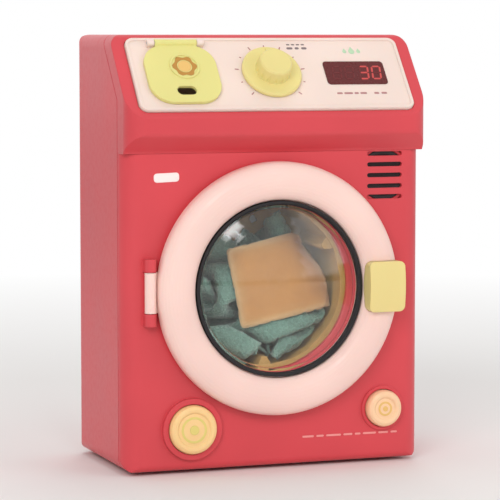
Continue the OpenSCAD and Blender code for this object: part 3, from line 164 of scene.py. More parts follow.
class SharedGroups:
    """The node groups that several finishes use, each built once."""

    @staticmethod
    def _group(
        name: str,
        inputs: dict[str, float],
        outputs: dict[str, str],
        fill: Callable[[Graph, Outputs], dict[str, Socket]],
    ) -> bpy.types.NodeTree:
        """Returns a group, built on first use.

        Args:
            name: Name of the group.
            inputs: Its float inputs and their usual values.
            outputs: Its outputs and their socket types.
            fill: Builds the inside and returns the socket for each output.

        Returns:
            The group's tree.
        """
        tree = bpy.data.node_groups.get(name)
        if tree is None:
            tree = bpy.data.node_groups.new(name, "ShaderNodeTree")
            for key, value in inputs.items():
                socket = tree.interface.new_socket(name=key, in_out="INPUT", socket_type=VALUE)
                socket.default_value = value
            for key, kind in outputs.items():
                tree.interface.new_socket(name=key, in_out="OUTPUT", socket_type=kind)
            graph = Graph(tree)
            graph.add("NodeGroupOutput", fill(graph, graph.add("NodeGroupInput").outputs))
        return tree

    def moulded_grain(self) -> bpy.types.NodeTree:
        """Returns the fine skin of a moulding, with slow blotches and specks."""

        def fill(graph: Graph, given: Outputs) -> dict[str, Socket]:
            """Builds three noises of different sizes."""
            place = graph.place()
            slow = graph.noise(place, given["Blotch Scale"], 1.0)
            specks = graph.noise(place, graph.math("MULTIPLY", given["Grain Scale"], 0.22), 1.0)
            return {
                "Height": graph.noise(place, given["Grain Scale"], 2.0, 0.6),
                "Blotch": graph.span(slow, 0.15, 0.85, 0.0, 1.0),
                "Speck": graph.span(specks, 0.4, 0.9, 0.0, 1.0),
            }

        inputs = {"Grain Scale": 1400.0, "Blotch Scale": 22.0}
        return self._group("moulded grain", inputs, {"Height": VALUE, "Blotch": VALUE, "Speck": VALUE}, fill)

    def edge_wear_and_highlight(self) -> bpy.types.NodeTree:
        """Returns soft edges for a hard-edged mesh: a rounded normal and an edge mask, which the finishes use
        to paint wear together with a painted highlight.
        """

        def fill(graph: Graph, given: Outputs) -> dict[str, Socket]:
            """Compares the rounded normal with the flat one and breaks up the result."""
            rounded = graph.add("ShaderNodeBevel", {"Radius": given["Radius"]}, samples=6).outputs[0]
            flat = graph.add("ShaderNodeNewGeometry").outputs["Normal"]
            turn = graph.add("ShaderNodeVectorMath", {0: rounded, 1: flat}, operation="DOT_PRODUCT")
            broken = graph.noise(graph.place(), given["Breakup Scale"], 3.0)
            edge = graph.span(turn.outputs["Value"], 0.995, 0.85, 0.0, 1.0)
            return {
                "Edge": graph.math("MULTIPLY", edge, graph.span(broken, 0.35, 0.6, 0.2, 1.0)),
                "Normal": rounded,
            }

        inputs = {"Radius": 0.0005, "Breakup Scale": 160.0}
        return self._group("edge wear and highlight", inputs, {"Edge": VALUE, "Normal": VECTOR}, fill)

    def terry_loops(self) -> bpy.types.NodeTree:
        """Returns the pile of a towel: tufts on the cut's own coordinates."""

        def fill(graph: Graph, given: Outputs) -> dict[str, Socket]:
            """Builds rounded cells that lean this way and that."""
            cut = graph.add("ShaderNodeUVMap", uv_map="cut").outputs[0]
            cells = {"Vector": cut, "Scale": given["Loop Scale"], "Randomness": 0.8}
            loops = graph.add("ShaderNodeTexVoronoi", cells).outputs["Distance"]
            lean = graph.math("MULTIPLY", graph.noise(cut, 90.0, 3.0), 0.8)
            wavy = graph.math("ADD", graph.math("SUBTRACT", 1.0, loops), lean)
            return {
                "Height": graph.math("MULTIPLY", wavy, given["Pile"]),
                "Tuft": graph.span(wavy, 0.7, 1.4, 0.0, 1.0),
            }

        inputs = {"Loop Scale": 700.0, "Pile": 1.0}
        return self._group("terry loops", inputs, {"Height": VALUE, "Tuft": VALUE}, fill)

    def plain_weave(self) -> bpy.types.NodeTree:
        """Returns warp and weft threads on the cut's own coordinates."""

        def fill(graph: Graph, given: Outputs) -> dict[str, Socket]:
            """Crosses two rows of waves and makes the threads uneven."""
            cut = graph.add("ShaderNodeUVMap", uv_map="cut").outputs[0]
            parts = graph.add("ShaderNodeSeparateXYZ", {0: cut}).outputs
            turns = graph.math("DIVIDE", 2 * math.pi, given["Thread Pitch"])
            warp = graph.math("SINE", graph.math("MULTIPLY", parts[0], turns))
            weft = graph.math("SINE", graph.math("MULTIPLY", parts[1], turns))
            woven = graph.math("ADD", graph.math("MULTIPLY", warp, weft), graph.noise(cut, 420.0, 2.0))
            return {"Height": woven, "Thread": graph.span(woven, -0.4, 1.4, 0.0, 1.0)}

        return self._group("plain weave", {"Thread Pitch": 0.0007}, {"Height": VALUE, "Thread": VALUE}, fill)

    def fine_scratches(self) -> bpy.types.NodeTree:
        """Returns the drawn, lightly scratched surface of small steel parts."""

        def fill(graph: Graph, given: Outputs) -> dict[str, Socket]:
            """Draws a noise out into lines."""
            drawn = graph.add("ShaderNodeMapping", {"Vector": graph.place(), "Scale": (1.0, 0.12, 1.0)})
            lines = graph.noise(drawn.outputs[0], given["Scale"], 4.0, 0.7)
            return {"Height": lines, "Streak": graph.span(lines, 0.35, 0.7, 0.0, 1.0)}

        return self._group("fine scratches", {"Scale": 900.0}, {"Height": VALUE, "Streak": VALUE}, fill)


GROUPS = SharedGroups()


class Finish:
    """Base of all finishes: builds its material once."""

    name: str

    def material(self) -> bpy.types.Material:
        """Returns the finish's material, built on first use."""
        found = bpy.data.materials.get(self.name)
        if found is None:
            found = bpy.data.materials.new(self.name)
            found.use_nodes = True
            self.build(Graph(found.node_tree))
        return found

    def build(self, graph: Graph) -> None:
        """Fills the material's nodes."""
        raise NotImplementedError


@dataclass(frozen=True)
class Moulding(Finish):
    """Coloured moulded plastic with a fine skin, slow blotches and lightly rubbed edges, which are painted
    lighter both as wear and as a painted highlight.
    """

    name: str
    tone: Colour
    roughness: float = 0.32
    coat: float = 0.1
    gloss: float = 0.4
    edge_radius: float = 0.0005
    grain_depth: float = 0.00003
    blotch: float = 0.06
    rub_and_highlight: float = 0.35
    rubbed_highlight_tone: float = 1.35
    milky: float = 0.0

    def build(self, graph: Graph) -> None:
        """Builds colour, roughness and skin from the shared groups."""
        grain = graph.group(GROUPS.moulded_grain(), {"Grain Scale": 1500.0, "Blotch Scale": 24.0})
        edge = graph.group(GROUPS.edge_wear_and_highlight(), {"Radius": self.edge_radius})
        darker, lighter = shaded(self.tone, 1 - self.blotch), shaded(self.tone, 1 + self.blotch)
        # The edges are painted lighter: partly rubbed wear, partly a painted highlight on the rounded edges.
        wear_and_highlight = graph.math("MULTIPLY", edge["Edge"], self.rub_and_highlight)
        slow = graph.span(grain["Blotch"], 0.0, 1.0, self.roughness - 0.03, self.roughness + 0.05)
        graph.principled(
            {
                "Base Color": graph.mix(
                    wear_and_highlight, graph.mix(grain["Blotch"], darker, lighter), shaded(self.tone, self.rubbed_highlight_tone)
                ),
                "Roughness": graph.math("ADD", slow, graph.math("MULTIPLY", grain["Speck"], 0.08)),
                "Normal": graph.bump(0.35, self.grain_depth, grain["Height"], Normal=edge["Normal"]),
                "IOR": 1.5,
                "Specular IOR Level": self.gloss,
                "Coat Weight": self.coat,
                "Coat Roughness": 0.1,
                "Subsurface Weight": self.milky,
                "Subsurface Scale": 0.004,
            }
        )


@dataclass(frozen=True)
class ClearMoulding(Finish):
    """Transparent plastic that lets the lamps' light through to what is behind it."""

    name: str
    tone: Colour
    roughness: float = 0.03
    shade: Colour = (0.9, 0.92, 0.92, 1.0)

    def build(self, graph: Graph) -> None:
        """Builds a glass-like shader that casts only a light shade."""
        grain = graph.group(GROUPS.moulded_grain(), {"Grain Scale": 260.0, "Blotch Scale": 12.0})
        edge = graph.group(GROUPS.edge_wear_and_highlight(), {"Radius": 0.0006})
        glass = graph.add(
            "ShaderNodeBsdfPrincipled",
            {
                "Base Color": graph.mix(grain["Blotch"], self.tone, shaded(self.tone, 0.97)),
                "Roughness": graph.span(grain["Speck"], 0.0, 1.0, self.roughness, self.roughness + 0.06),
                "Normal": graph.bump(0.12, 0.00005, grain["Blotch"], Normal=edge["Normal"]),
                "IOR": 1.46,
                "Transmission Weight": 1.0,
            },
        )
        open_way = graph.add("ShaderNodeBsdfTransparent", {"Color": self.shade})
        shadow = graph.add("ShaderNodeLightPath").outputs["Is Shadow Ray"]
        both = graph.add("ShaderNodeMixShader", {0: shadow, 1: glass.outputs[0], 2: open_way.outputs[0]})
        graph.surface(both.outputs[0])


@dataclass(frozen=True)
class Steel(Finish):
    """Small plated steel parts: screws, pins, springs."""

    name: str
    tone: Colour
    roughness: float = 0.28

    def build(self, graph: Graph) -> None:
        """Builds drawn, slightly dulled metal whose edges are painted lighter, as wear and as a painted
        highlight.
        """
        lines = graph.group(GROUPS.fine_scratches(), {"Scale": 1100.0})
        edge = graph.group(GROUPS.edge_wear_and_highlight(), {"Radius": 0.00025, "Breakup Scale": 400.0})
        body = graph.mix(lines["Streak"], shaded(self.tone, 0.82), self.tone)
        # The edges are painted lighter: partly rubbed wear, partly a painted highlight on the rounded edges.
        wear_and_highlight = graph.math("MULTIPLY", edge["Edge"], 0.6)
        graph.principled(
            {
                "Base Color": graph.mix(wear_and_highlight, body, shaded(self.tone, 1.25)),
                "Metallic": 1.0,
                "Roughness": graph.span(lines["Streak"], 0.0, 1.0, self.roughness + 0.12, self.roughness),
                "Normal": graph.bump(0.3, 0.00002, lines["Height"], Normal=edge["Normal"]),
            }
        )


@dataclass(frozen=True)
class Lit(Finish):
    """Something that glows by itself, such as a display's segments or a small lamp."""

    name: str
    tone: Colour
    glow: float = 1.0
    body: Colour = (0.02, 0.004, 0.004, 1.0)

    def build(self, graph: Graph) -> None:
        """Builds an uneven glow over a dark body."""
        grain = graph.group(GROUPS.moulded_grain(), {"Grain Scale": 2600.0, "Blotch Scale": 240.0})
        graph.principled(
            {
                "Base Color": graph.mix(grain["Blotch"], self.body, shaded(self.body, 1.2)),
                "Roughness": graph.span(grain["Blotch"], 0.0, 1.0, 0.3, 0.45),
                "Emission Color": graph.mix(grain["Blotch"], shaded(self.tone, 0.8), self.tone),
                "Emission Strength": self.glow,
            }
        )


class Stuff(Enum):
    """The two kinds of cloth in the drum, each with the depth of its surface."""

    TERRY = 0.0009
    WOVEN = 0.00018


@dataclass(frozen=True)
class Fabric(Finish):
    """Cloth whose threads lie on the cut's own coordinates, with a hem of its own paler tone that is partly a
    painted highlight along the border.
    """

    name: str
    tone: Colour
    hem_and_highlight: Colour
    stuff: Stuff
    pitch: float

    def build(self, graph: Graph) -> None:
        """Builds pile or weave with painted shade in its low parts, a paler hem round the border that is
        partly a painted highlight, and a fuzzy sheen.
        """
        border = graph.add("ShaderNodeAttribute", attribute_name="hem_and_highlight").outputs["Fac"]
        if self.stuff is Stuff.TERRY:
            threads = graph.group(GROUPS.terry_loops(), {"Loop Scale": 1 / self.pitch, "Pile": 1.0})
            tuft = threads["Tuft"]
        else:
            threads = graph.group(GROUPS.plain_weave(), {"Thread Pitch": self.pitch})
            tuft = threads["Thread"]
        grain = graph.group(GROUPS.moulded_grain(), {"Grain Scale": 900.0, "Blotch Scale": 60.0})
        # Low parts of the pile and weave are painted darker and high parts lighter: painted shade between the
        # loops and threads.
        body = graph.mix(tuft, shaded(self.tone, 0.72), shaded(self.tone, 1.12))
        faded = graph.mix(graph.math("MULTIPLY", grain["Blotch"], 0.35), body, shaded(self.tone, 1.3))
        # The paler hem tone is partly a painted highlight along the cloth's edge, over a real thicker hem.
        hem_and_highlight = graph.mix(tuft, shaded(self.hem_and_highlight, 0.8), self.hem_and_highlight)
        graph.principled(
            {
                "Base Color": graph.mix(border, faded, hem_and_highlight),
                "Roughness": graph.span(tuft, 0.0, 1.0, 0.98, 0.82),
                "Normal": graph.bump(0.9, self.stuff.value, threads["Height"]),
                "Sheen Weight": 0.35,
                "Sheen Roughness": 0.5,
                "Specular IOR Level": 0.2,
            }
        )


@dataclass(frozen=True)
class CircuitBoard(Finish):
    """Green board with paler tracks under the lacquer."""

    name: str
    tone: Colour
    track_tone: float = 1.9

    def build(self, graph: Graph) -> None:
        """Builds crossing tracks from the joints of a brick pattern."""
        black = (0, 0, 0, 1)
        bricks = {"Vector": graph.place(), "Scale": 160.0, "Mortar Size": 0.06}
        bricks |= {"Color1": black, "Color2": black}
        tracks = graph.add("ShaderNodeTexBrick", bricks).outputs["Fac"]
        grain = graph.group(GROUPS.moulded_grain(), {"Grain Scale": 800.0})
        graph.principled(
            {
                "Base Color": graph.mix(tracks, self.tone, shaded(self.tone, self.track_tone)),
                "Roughness": graph.span(grain["Blotch"], 0.0, 1.0, 0.25, 0.4),
                "Normal": graph.bump(0.4, 0.00004, tracks),
                "Coat Weight": 0.4,
            }
        )


@dataclass(frozen=True)
class CellSleeve(Finish):
    """Printed sleeve of a battery cell, with a band of another tone near one end."""

    name: str
    tone: Colour
    band: Colour
    band_from: float = 0.012

    def build(self, graph: Graph) -> None:
        """Builds the band across the cell's length."""
        along = graph.add("ShaderNodeSeparateXYZ", {0: graph.place()}).outputs[0]
        grain = graph.group(GROUPS.moulded_grain(), {"Grain Scale": 500.0})
        band = graph.math("GREATER_THAN", along, self.band_from)
        graph.principled(
            {
                "Base Color": graph.mix(band, self.tone, self.band),
                "Roughness": graph.span(grain["Blotch"], 0.0, 1.0, 0.22, 0.34),
                "Coat Weight": 0.3,
            }
        )


def ink(name: str, tone: Colour, roughness: float = 0.55) -> Moulding:
    """Returns the finish of a thin printed mark."""
    return Moulding(f"{name} ink", tone, roughness=roughness, coat=0.0, grain_depth=0.00001)


RED = Moulding("gloss red moulding", srgb(211, 69, 77), roughness=0.34, coat=0.08, edge_radius=0.0008)
RED_INSIDE = Moulding("satin red moulding", srgb(204, 64, 72), roughness=0.42, coat=0.0)
PINK = Moulding("pale pink moulding", srgb(246, 210, 200), roughness=0.32, coat=0.12, milky=0.1)
PANEL = Moulding("cream panel moulding", srgb(237, 215, 204), roughness=0.38, coat=0.05, milky=0.08)
LEMON = Moulding("lemon lid moulding", srgb(225, 216, 136), roughness=0.36, coat=0.1, milky=0.08)
BUTTER = Moulding("butter knob moulding", srgb(229, 213, 140), roughness=0.36, coat=0.1, milky=0.08)
HANDLE = Moulding("straw handle moulding", srgb(232, 212, 141), roughness=0.34, coat=0.12, milky=0.08)
AMBER = Moulding("amber button moulding", srgb(246, 207, 145), roughness=0.34, coat=0.12, milky=0.08)
APRICOT = Moulding("apricot button moulding", srgb(247, 205, 164), roughness=0.34, coat=0.12, milky=0.08)
DRUM = Moulding("ochre drum moulding", srgb(196, 156, 92), roughness=0.42, coat=0.0)
WHITE = Moulding("white moulding", srgb(232, 230, 222), roughness=0.42, coat=0.0)
GEAR = Moulding("gear moulding", srgb(228, 224, 210), roughness=0.5, coat=0.0, edge_radius=0.0002)
BLACK = Moulding("black moulding", srgb(42, 40, 42), roughness=0.5, coat=0.0, rub_and_highlight=0.5)
GASKET = Moulding("black rubber", srgb(34, 32, 34), roughness=0.62, coat=0.0, grain_depth=0.00006)
FOOT = Moulding("grey rubber", srgb(78, 76, 78), roughness=0.8, coat=0.0, grain_depth=0.00008)
FROST = Moulding("frosted ring", srgb(246, 242, 240), roughness=0.5, coat=0.0, milky=0.4)
LENS = Moulding("maroon lens", srgb(90, 13, 14), roughness=0.24, coat=0.12, blotch=0.12, grain_depth=0.00001)
CLEAR = ClearMoulding("clear window moulding", (0.97, 0.985, 0.98, 1.0))
STEEL = Steel("plated steel", (0.62, 0.62, 0.63, 1.0))
BOARD = CircuitBoard("green board", srgb(34, 92, 58))
SLEEVE = CellSleeve("cell sleeve", srgb(58, 92, 74), srgb(196, 150, 70))
LAMP = Lit("lamp dome", (1.0, 0.82, 0.5, 1.0), glow=0.6, body=(0.8, 0.7, 0.5, 1.0))
DIGITS = Lit("lit segments", (1.0, 0.10, 0.09, 1.0), glow=0.7)
RESTING = Moulding("resting segments", srgb(104, 24, 26), roughness=0.35, coat=0.1)
GREY_INK = ink("grey", srgb(132, 116, 116))
ROSE_INK = ink("rose", srgb(184, 132, 130))
GREEN_INK = ink("green", srgb(186, 214, 178))
WHITE_INK = ink("white", srgb(248, 232, 228), roughness=0.5)
BLUSH_INK = ink("blush", srgb(238, 150, 146), roughness=0.5)
RUST_INK = ink("rust", srgb(188, 136, 64), roughness=0.5)
PEACH_INK = ink("peach", srgb(232, 188, 112), roughness=0.5)
LIME_INK = ink("lime", srgb(226, 208, 122), roughness=0.5)
TEAL_TERRY = Fabric("teal terry", srgb(116, 152, 138), srgb(136, 170, 156), Stuff.TERRY, 0.0013)
# The washcloth's pale hem tone is partly a painted highlight along its edge.
TAN_CLOTH = Fabric("tan cloth", srgb(212, 152, 88), srgb(228, 192, 140), Stuff.WOVEN, 0.0008)


# ---- Places on the machine ----


@dataclass(frozen=True)
class Plane:
    """A plane of the machine that marks and plates are laid on."""

    origin: Vector
    across: Vector
    up: Vector
    out: Vector

    def at(self, across: float, up: float, out: float = 0.0) -> Vector:
        """Returns a point given in millimetres across, up and out of the plane."""
        return self.origin + (self.across * across + self.up * up + self.out * out) * MM


FRONT_FACE = Plane(Vector((0, -0.037, 0)), Vector((1, 0, 0)), Vector((0, 0, 1)), Vector((0, -1, 0)))
SLOPE_RISE, SLOPE_RUN = 44.0, 36.0
SLOPE_L = math.hypot(SLOPE_RISE, SLOPE_RUN)
SLOPE = Plane(
    Vector((0, -0.029, 0.218)),
    Vector((1, 0, 0)),
    Vector((0, SLOPE_RUN / SLOPE_L, SLOPE_RISE / SLOPE_L)),
    Vector((0, -SLOPE_RISE / SLOPE_L, SLOPE_RUN / SLOPE_L)),
)
PANEL_FACE = 1.2


# ---- Outlines, in millimetres ----

Outline = list[tuple[float, float]]


def moved(points: Outline, across: float, up: float, turn: float = 0.0) -> Outline:
    """Turns an outline by an angle in degrees and then moves it."""
    c, s = math.cos(math.radians(turn)), math.sin(math.radians(turn))
    return [(x * c - y * s + across, x * s + y * c + up) for x, y in points]


def pill(length: float, width: float, steps: int = 7) -> Outline:
    """Returns a bar with round ends, centred, its long side across."""
    half, r = max(length - width, 0.0) / 2, width / 2
    turns = [-90 + 180 * k / steps for k in range(steps + 1)]
    right = [(half + r * math.cos(math.radians(a)), r * math.sin(math.radians(a))) for a in turns]
    return right + [(-x, -y) for x, y in right]


def round_box(width: float, height: float, radius: float, steps: int = 5) -> Outline:
    """Returns a rectangle with round corners, centred."""
    points = []
    for quarter, (sx, sy) in enumerate(((1, 1), (-1, 1), (-1, -1), (1, -1))):
        for k in range(steps + 1):
            a = math.radians(90 * quarter + 90 * k / steps)
            x = sx * (width / 2 - radius) + radius * math.cos(a)
            y = sy * (height / 2 - radius) + radius * math.sin(a)
            points.append((x, y))
    return points


def wavy_ring(radius: float, wave: float, petals: int, steps: int = 96) -> Outline:
    """Returns a circle whose radius waves in and out, as a row of petals does."""
    points = []
    for k in range(steps):
        a = 2 * math.pi * k / steps
        r = radius + wave * math.cos(petals * a)
        points.append((r * math.cos(a), r * math.sin(a)))
    return points


def drop(height: float, steps: int = 20) -> Outline:
    """Returns a drop that points up."""
    r = height * 0.34
    points = [(0.0, height - r)]
    for k in range(steps + 1):
        a = math.radians(150 + 240 * k / steps)
        points.append((r * math.cos(a), r * math.sin(a)))
    return points


# ---- Pieces ----


def dress(finish: Finish, *nodes: str) -> None:
    """Gives CAD nodes their finish.

    Args:
        finish: The finish for all their faces.
        nodes: Names of the nodes.
    """
    for node in nodes:
        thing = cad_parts[node]
        if not thing.material_slots:
            thing.data.materials.append(finish.material())
        for held in thing.material_slots:
            held.material = finish.material()


def piece(name: str, mesh: bpy.types.Mesh, body: str, finish: Finish) -> bpy.types.Object:
    """Turns a mesh into a finished piece on a body.

    Args:
        name: Name of the piece.
        mesh: Its mesh.
        body: The body that it rides on.
        finish: Its finish.

    Returns:
        The new object.
    """
    thing = bpy.data.objects.new(name, mesh)
    bpy.context.scene.collection.objects.link(thing)
    mesh.materials.append(finish.material())
    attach(thing, body)
    log.info("piece %s on %s: %d faces", name, body, len(mesh.polygons))
    return thing


class PlateWork:
    """Builds thin plates and inlays with softened rims on a plane."""

    def __init__(self, plane: Plane) -> None:
        """Starts an empty mesh on the plane."""
        self.plane = plane
        self.form = bmesh.new()

    def _ring(self, points: Outline, out: float) -> list[bmesh.types.BMVert]:
        """Adds the vertices of an outline at a height above the plane."""
        return [self.form.verts.new(self.plane.at(x, y, out)) for x, y in points]

    def _wall(self, low: list[bmesh.types.BMVert], high: list[bmesh.types.BMVert]) -> None:
        """Joins two rings by quads."""
        n = len(low)
        for k in range(n):
            self.form.faces.new((low[k], low[(k + 1) % n], high[(k + 1) % n], high[k]))

    def plate(self, points: Outline, low: float, high: float, rim: float = 0.0) -> None:
        """Adds a plate between two heights, its upper rim rounded.

        Args:
            points: The outline, anticlockwise, in millimetres.
            low: Height of its underside.
            high: Height of its top.
            rim: How far the rounding of the rim goes in and down.
        """
        middle = np.mean(np.array(points), axis=0)
        bottom = self._ring(points, low)
        self.form.faces.new(bottom[::-1])
        last = self._ring(points, high - rim)
        self._wall(bottom, last)
        if rim:
            for turn in (30, 60, 90):
                inset = rim * (1 - math.cos(math.radians(turn)))
                size = np.ptp(np.array(points), axis=0).max() / 2
                share = 1 - inset / size
                ring = [tuple(middle + (np.array(p) - middle) * share) for p in points]
                upper = self._ring(ring, high - rim + rim * math.sin(math.radians(turn)))
                self._wall(last, upper)
                last = upper
        self.form.faces.new(last)

    def band(self, outer: Outline, inner: Outline, low: float, high: float) -> None:
        """Adds a flat band between two outlines that have the same number of points."""
        rings = [self._ring(p, h) for p, h in ((outer, low), (outer, high), (inner, high), (inner, low))]
        for k in range(4):
            self._wall(rings[k], rings[(k + 1) % 4])

    def dashes(
        self,
        at: float,
        up: float,
        lengths: tuple[float, ...],
        width: float,
        gap: float,
        low: float,
        high: float,
    ) -> None:
        """Adds a row of dashes with round ends.

        Args:
            at: Where the row starts, across the plane.
            up: Its height on the plane.
            lengths: Length of each dash.
            width: Their width.
            gap: The space between two of them.
            low: Height of their undersides.
            high: Height of their tops.
        """
        for length in lengths:
            self.plate(moved(pill(length, width), at + length / 2, up), low, high)
            at += length + gap

    def mesh(self, name: str, smooth: bool = False) -> bpy.types.Mesh:
        """Closes the work and returns its mesh."""
        bmesh.ops.recalc_face_normals(self.form, faces=self.form.faces[:])
        for face in self.form.faces:
            face.smooth = smooth
        made = bpy.data.meshes.new(name)
        self.form.to_mesh(made)
        self.form.free()
        return made


# ---- Sub-assemblies ----


@dataclass
class Cabinet:
    """The two red shells, what holds them, the feet and the marks printed on the front."""

    label_at: tuple[float, float] = (-63.0, 163.0)
    label_size: tuple[float, float] = (14.5, 5.0)
    line_at: tuple[float, float] = (16.0, 17.0)
    line_dashes: tuple[float, ...] = (7.0, 4.5, 9.0, 5.5, 3.5, 8.0, 6.0, 4.0)
    line_width: float = 1.2
    line_gap: float = 1.4

    def build(self) -> None:
        """Dresses the shells and adds the blank label and the pale line."""
        dress(RED, "front_shell", "rear_shell", "battery_cover")
        dress(RED_INSIDE, "mouth_ring")
        dress(STEEL, "housing_screws", "battery_cover_screw")
        dress(FOOT, "feet")
        self._label()
        self._line()

    def _label(self) -> None:
        """Adds the small blank label at the upper left of the front."""
        work = PlateWork(FRONT_FACE)
        shape = moved(round_box(*self.label_size, 1.8), *self.label_at, 2)
        work.plate(shape, -0.2, 0.35, 0.25)
        piece("label_blank", work.mesh("label_blank", True), "cabinet", WHITE_INK)

    def _line(self) -> None:
        """Adds the thin pale line under the sound button, broken into dashes of different lengths."""
        work = PlateWork(FRONT_FACE)
        work.dashes(*self.line_at, self.line_dashes, self.line_width, self.line_gap, -0.05, 0.06)
        piece("front_line", work.mesh("front_line"), "cabinet", BLUSH_INK)


@dataclass
class ControlHead:
    """The sloping panel with its lid, knob and display."""

    lid_x: float = -52.0
    lid_v: float = -1.5
    lid_gap: float = 0.3
    lid_thickness: float = 2.0
    tick_turns: tuple[int, ...] = tuple(range(-135, 136, 27))
    tick_reach: float = 19.2
    display_x: float = 50.0
    digit_h: float = 8.6
    digit_w: float = 4.8
    stroke: float = 1.05
    shown: str = "30"
    marks_out: tuple[float, float] = (PANEL_FACE - 0.05, PANEL_FACE + 0.06)

    def build(self) -> None:
        """Dresses the head's nodes and adds its printed and lit details."""
        dress(PANEL, "control_panel", "detergent_cup")
        dress(LEMON, "detergent_lid")
        dress(BUTTER, "program_knob")
        dress(LENS, "display_lens")
        dress(WHITE, "display_module")
        dress(BOARD, "main_board")
        dress(BLACK, "rotary_switch")
        dress(STEEL, "board_screws", "knob_spindle", "lid_pin")
        self._knob_marks()
        self._display_marks()
        self._digits()
        self._motif()

    def _knob_marks(self) -> None:
        """Adds the tick marks round the knob and the grey group at its upper right."""
        low, high = self.marks_out
        work = PlateWork(SLOPE)
        for turn in self.tick_turns:
            a = math.radians(90 - turn)
            long_mark = turn % 54 == 27
            length = 2.4 if long_mark else 1.2
            reach = self.tick_reach + (0.4 if long_mark else 0.0)
            tick = moved(pill(length, 0.7), reach * math.cos(a), reach * math.sin(a), 90 - turn)
            work.plate(tick, low, high)
        piece("knob_ticks", work.mesh("knob_ticks"), "cabinet", ROSE_INK)
        group = PlateWork(SLOPE)
        for k, length in enumerate((3.6, 2.4, 3.2)):
            group.plate(moved(pill(length, 1.5), 15.0 + 4.3 * k, 17.6), low, high)
        for k in range(4):
            group.plate(moved(pill(2.0, 0.9), 14.6 + 2.9 * k, 20.2), low, high)
        piece("knob_scale_marks", group.mesh("knob_scale_marks"), "cabinet", GREY_INK)

    def _display_marks(self) -> None:
        """Adds the small marks round the display: three green drops above, two grey groups below."""
        low, high = self.marks_out
        green = PlateWork(SLOPE)
        for height, side in ((5.2, 0), (3.4, -1), (3.4, 1)):
            green.plate(moved(drop(height), self.display_x + 1.5 + 4.2 * side, 15.2), low, high)
        piece("water_marks", green.mesh("water_marks"), "cabinet", GREEN_INK)
        grey = PlateWork(SLOPE)
        for at, lengths, gap in ((-14.5, (3.4, 5.2, 2.6, 4.0), 0.9), (7.7, (3.0, 3.4), 1.4)):
            grey.dashes(self.display_x + at, -14.2, lengths, 1.3, gap, low, high)
        piece("display_marks", grey.mesh("display_marks"), "cabinet", ROSE_INK)

    def _segment(self, work: PlateWork, name: str, x: float, low: float, high: float) -> None:
        """Adds one segment of a digit, named a to g as usual, with its digit centred on x."""
        half_w, half_h = self.digit_w / 2, self.digit_h / 2
        level = {"a": half_h, "g": 0.0, "d": -half_h}
        upright = {"b": (half_w, 0.5), "c": (half_w, -0.5), "e": (-half_w, -0.5), "f": (-half_w, 0.5)}
        bar = self.stroke / 2
        if name in level:
            r = self.digit_w / 2 - 0.25
            shape = [(-r, 0), (-r + bar, -bar), (r - bar, -bar), (r, 0), (r - bar, bar), (-r + bar, bar)]
            place = (x, level[name])
        else:
            r = self.digit_h / 4 - 0.2
            shape = [(0, -r), (bar, -r + bar), (bar, r - bar), (0, r), (-bar, r - bar), (-bar, -r + bar)]
            place = (x + upright[name][0], upright[name][1] * half_h)
        lean = 0.12
        points = [(px + place[0] + lean * (py + place[1]), py + place[1]) for px, py in shape]
        work.plate(points, low, high)

    def _digits(self) -> None:
        """Adds the display's lit segments and the resting ones between them."""
        lit_parts = {"3": "abcdg", "0": "abcdef"}
        face = PANEL_FACE + 0.3
        lit, resting = PlateWork(SLOPE), PlateWork(SLOPE)
        for x, shown in zip((-11.0, -3.6, 5.2, 12.6), "  " + self.shown):
            for part in "abcdefg":
                on = part in lit_parts.get(shown, "")
                self._segment(lit if on else resting, part, self.display_x + x, face - 0.05, face + 0.04)
        for y in (-2.0, 2.0):
            resting.plate(moved(pill(1.0, 1.0), self.display_x + 0.7, y), face - 0.05, face + 0.04)
        piece("display_digits", lit.mesh("display_digits"), "cabinet", DIGITS)
        piece("display_resting", resting.mesh("display_resting"), "cabinet", RESTING)

    def _motif(self) -> None:
        """Adds the printed flower ring on the lid, inside its raised ring."""
        top = PANEL_FACE + self.lid_gap + self.lid_thickness
        x, v = self.lid_x + 2, self.lid_v + 5
        ring = PlateWork(SLOPE)
        outer, inner = moved(wavy_ring(6.5, 0.6, 6), x, v), moved(wavy_ring(4.2, 0.0, 6), x, v)
        ring.band(outer, inner, top - 0.05, top + 0.06)
        piece("lid_motif_ring", ring.mesh("lid_motif_ring"), "lid", RUST_INK)
        heart = PlateWork(SLOPE)
        heart.plate(moved(wavy_ring(3.8, 0.0, 1, 40), x, v), top - 0.05, top + 0.05)
        piece("lid_motif_heart", heart.mesh("lid_motif_heart"), "lid", PEACH_INK)


class Door:
    """The round door: its two rings, the bulged window, the gasket and the handle, and the ring behind it."""

    def build(self) -> None:
        """Dresses the door's nodes."""
        dress(PINK, "door_front_ring", "door_back_ring")
        dress(CLEAR, "door_window")
        dress(GASKET, "window_gasket")
        dress(HANDLE, "door_handle")
        dress(STEEL, "door_screws", "hinge_pin")
        dress(FROST, "light_ring")
        dress(LAMP, "ring_leds")


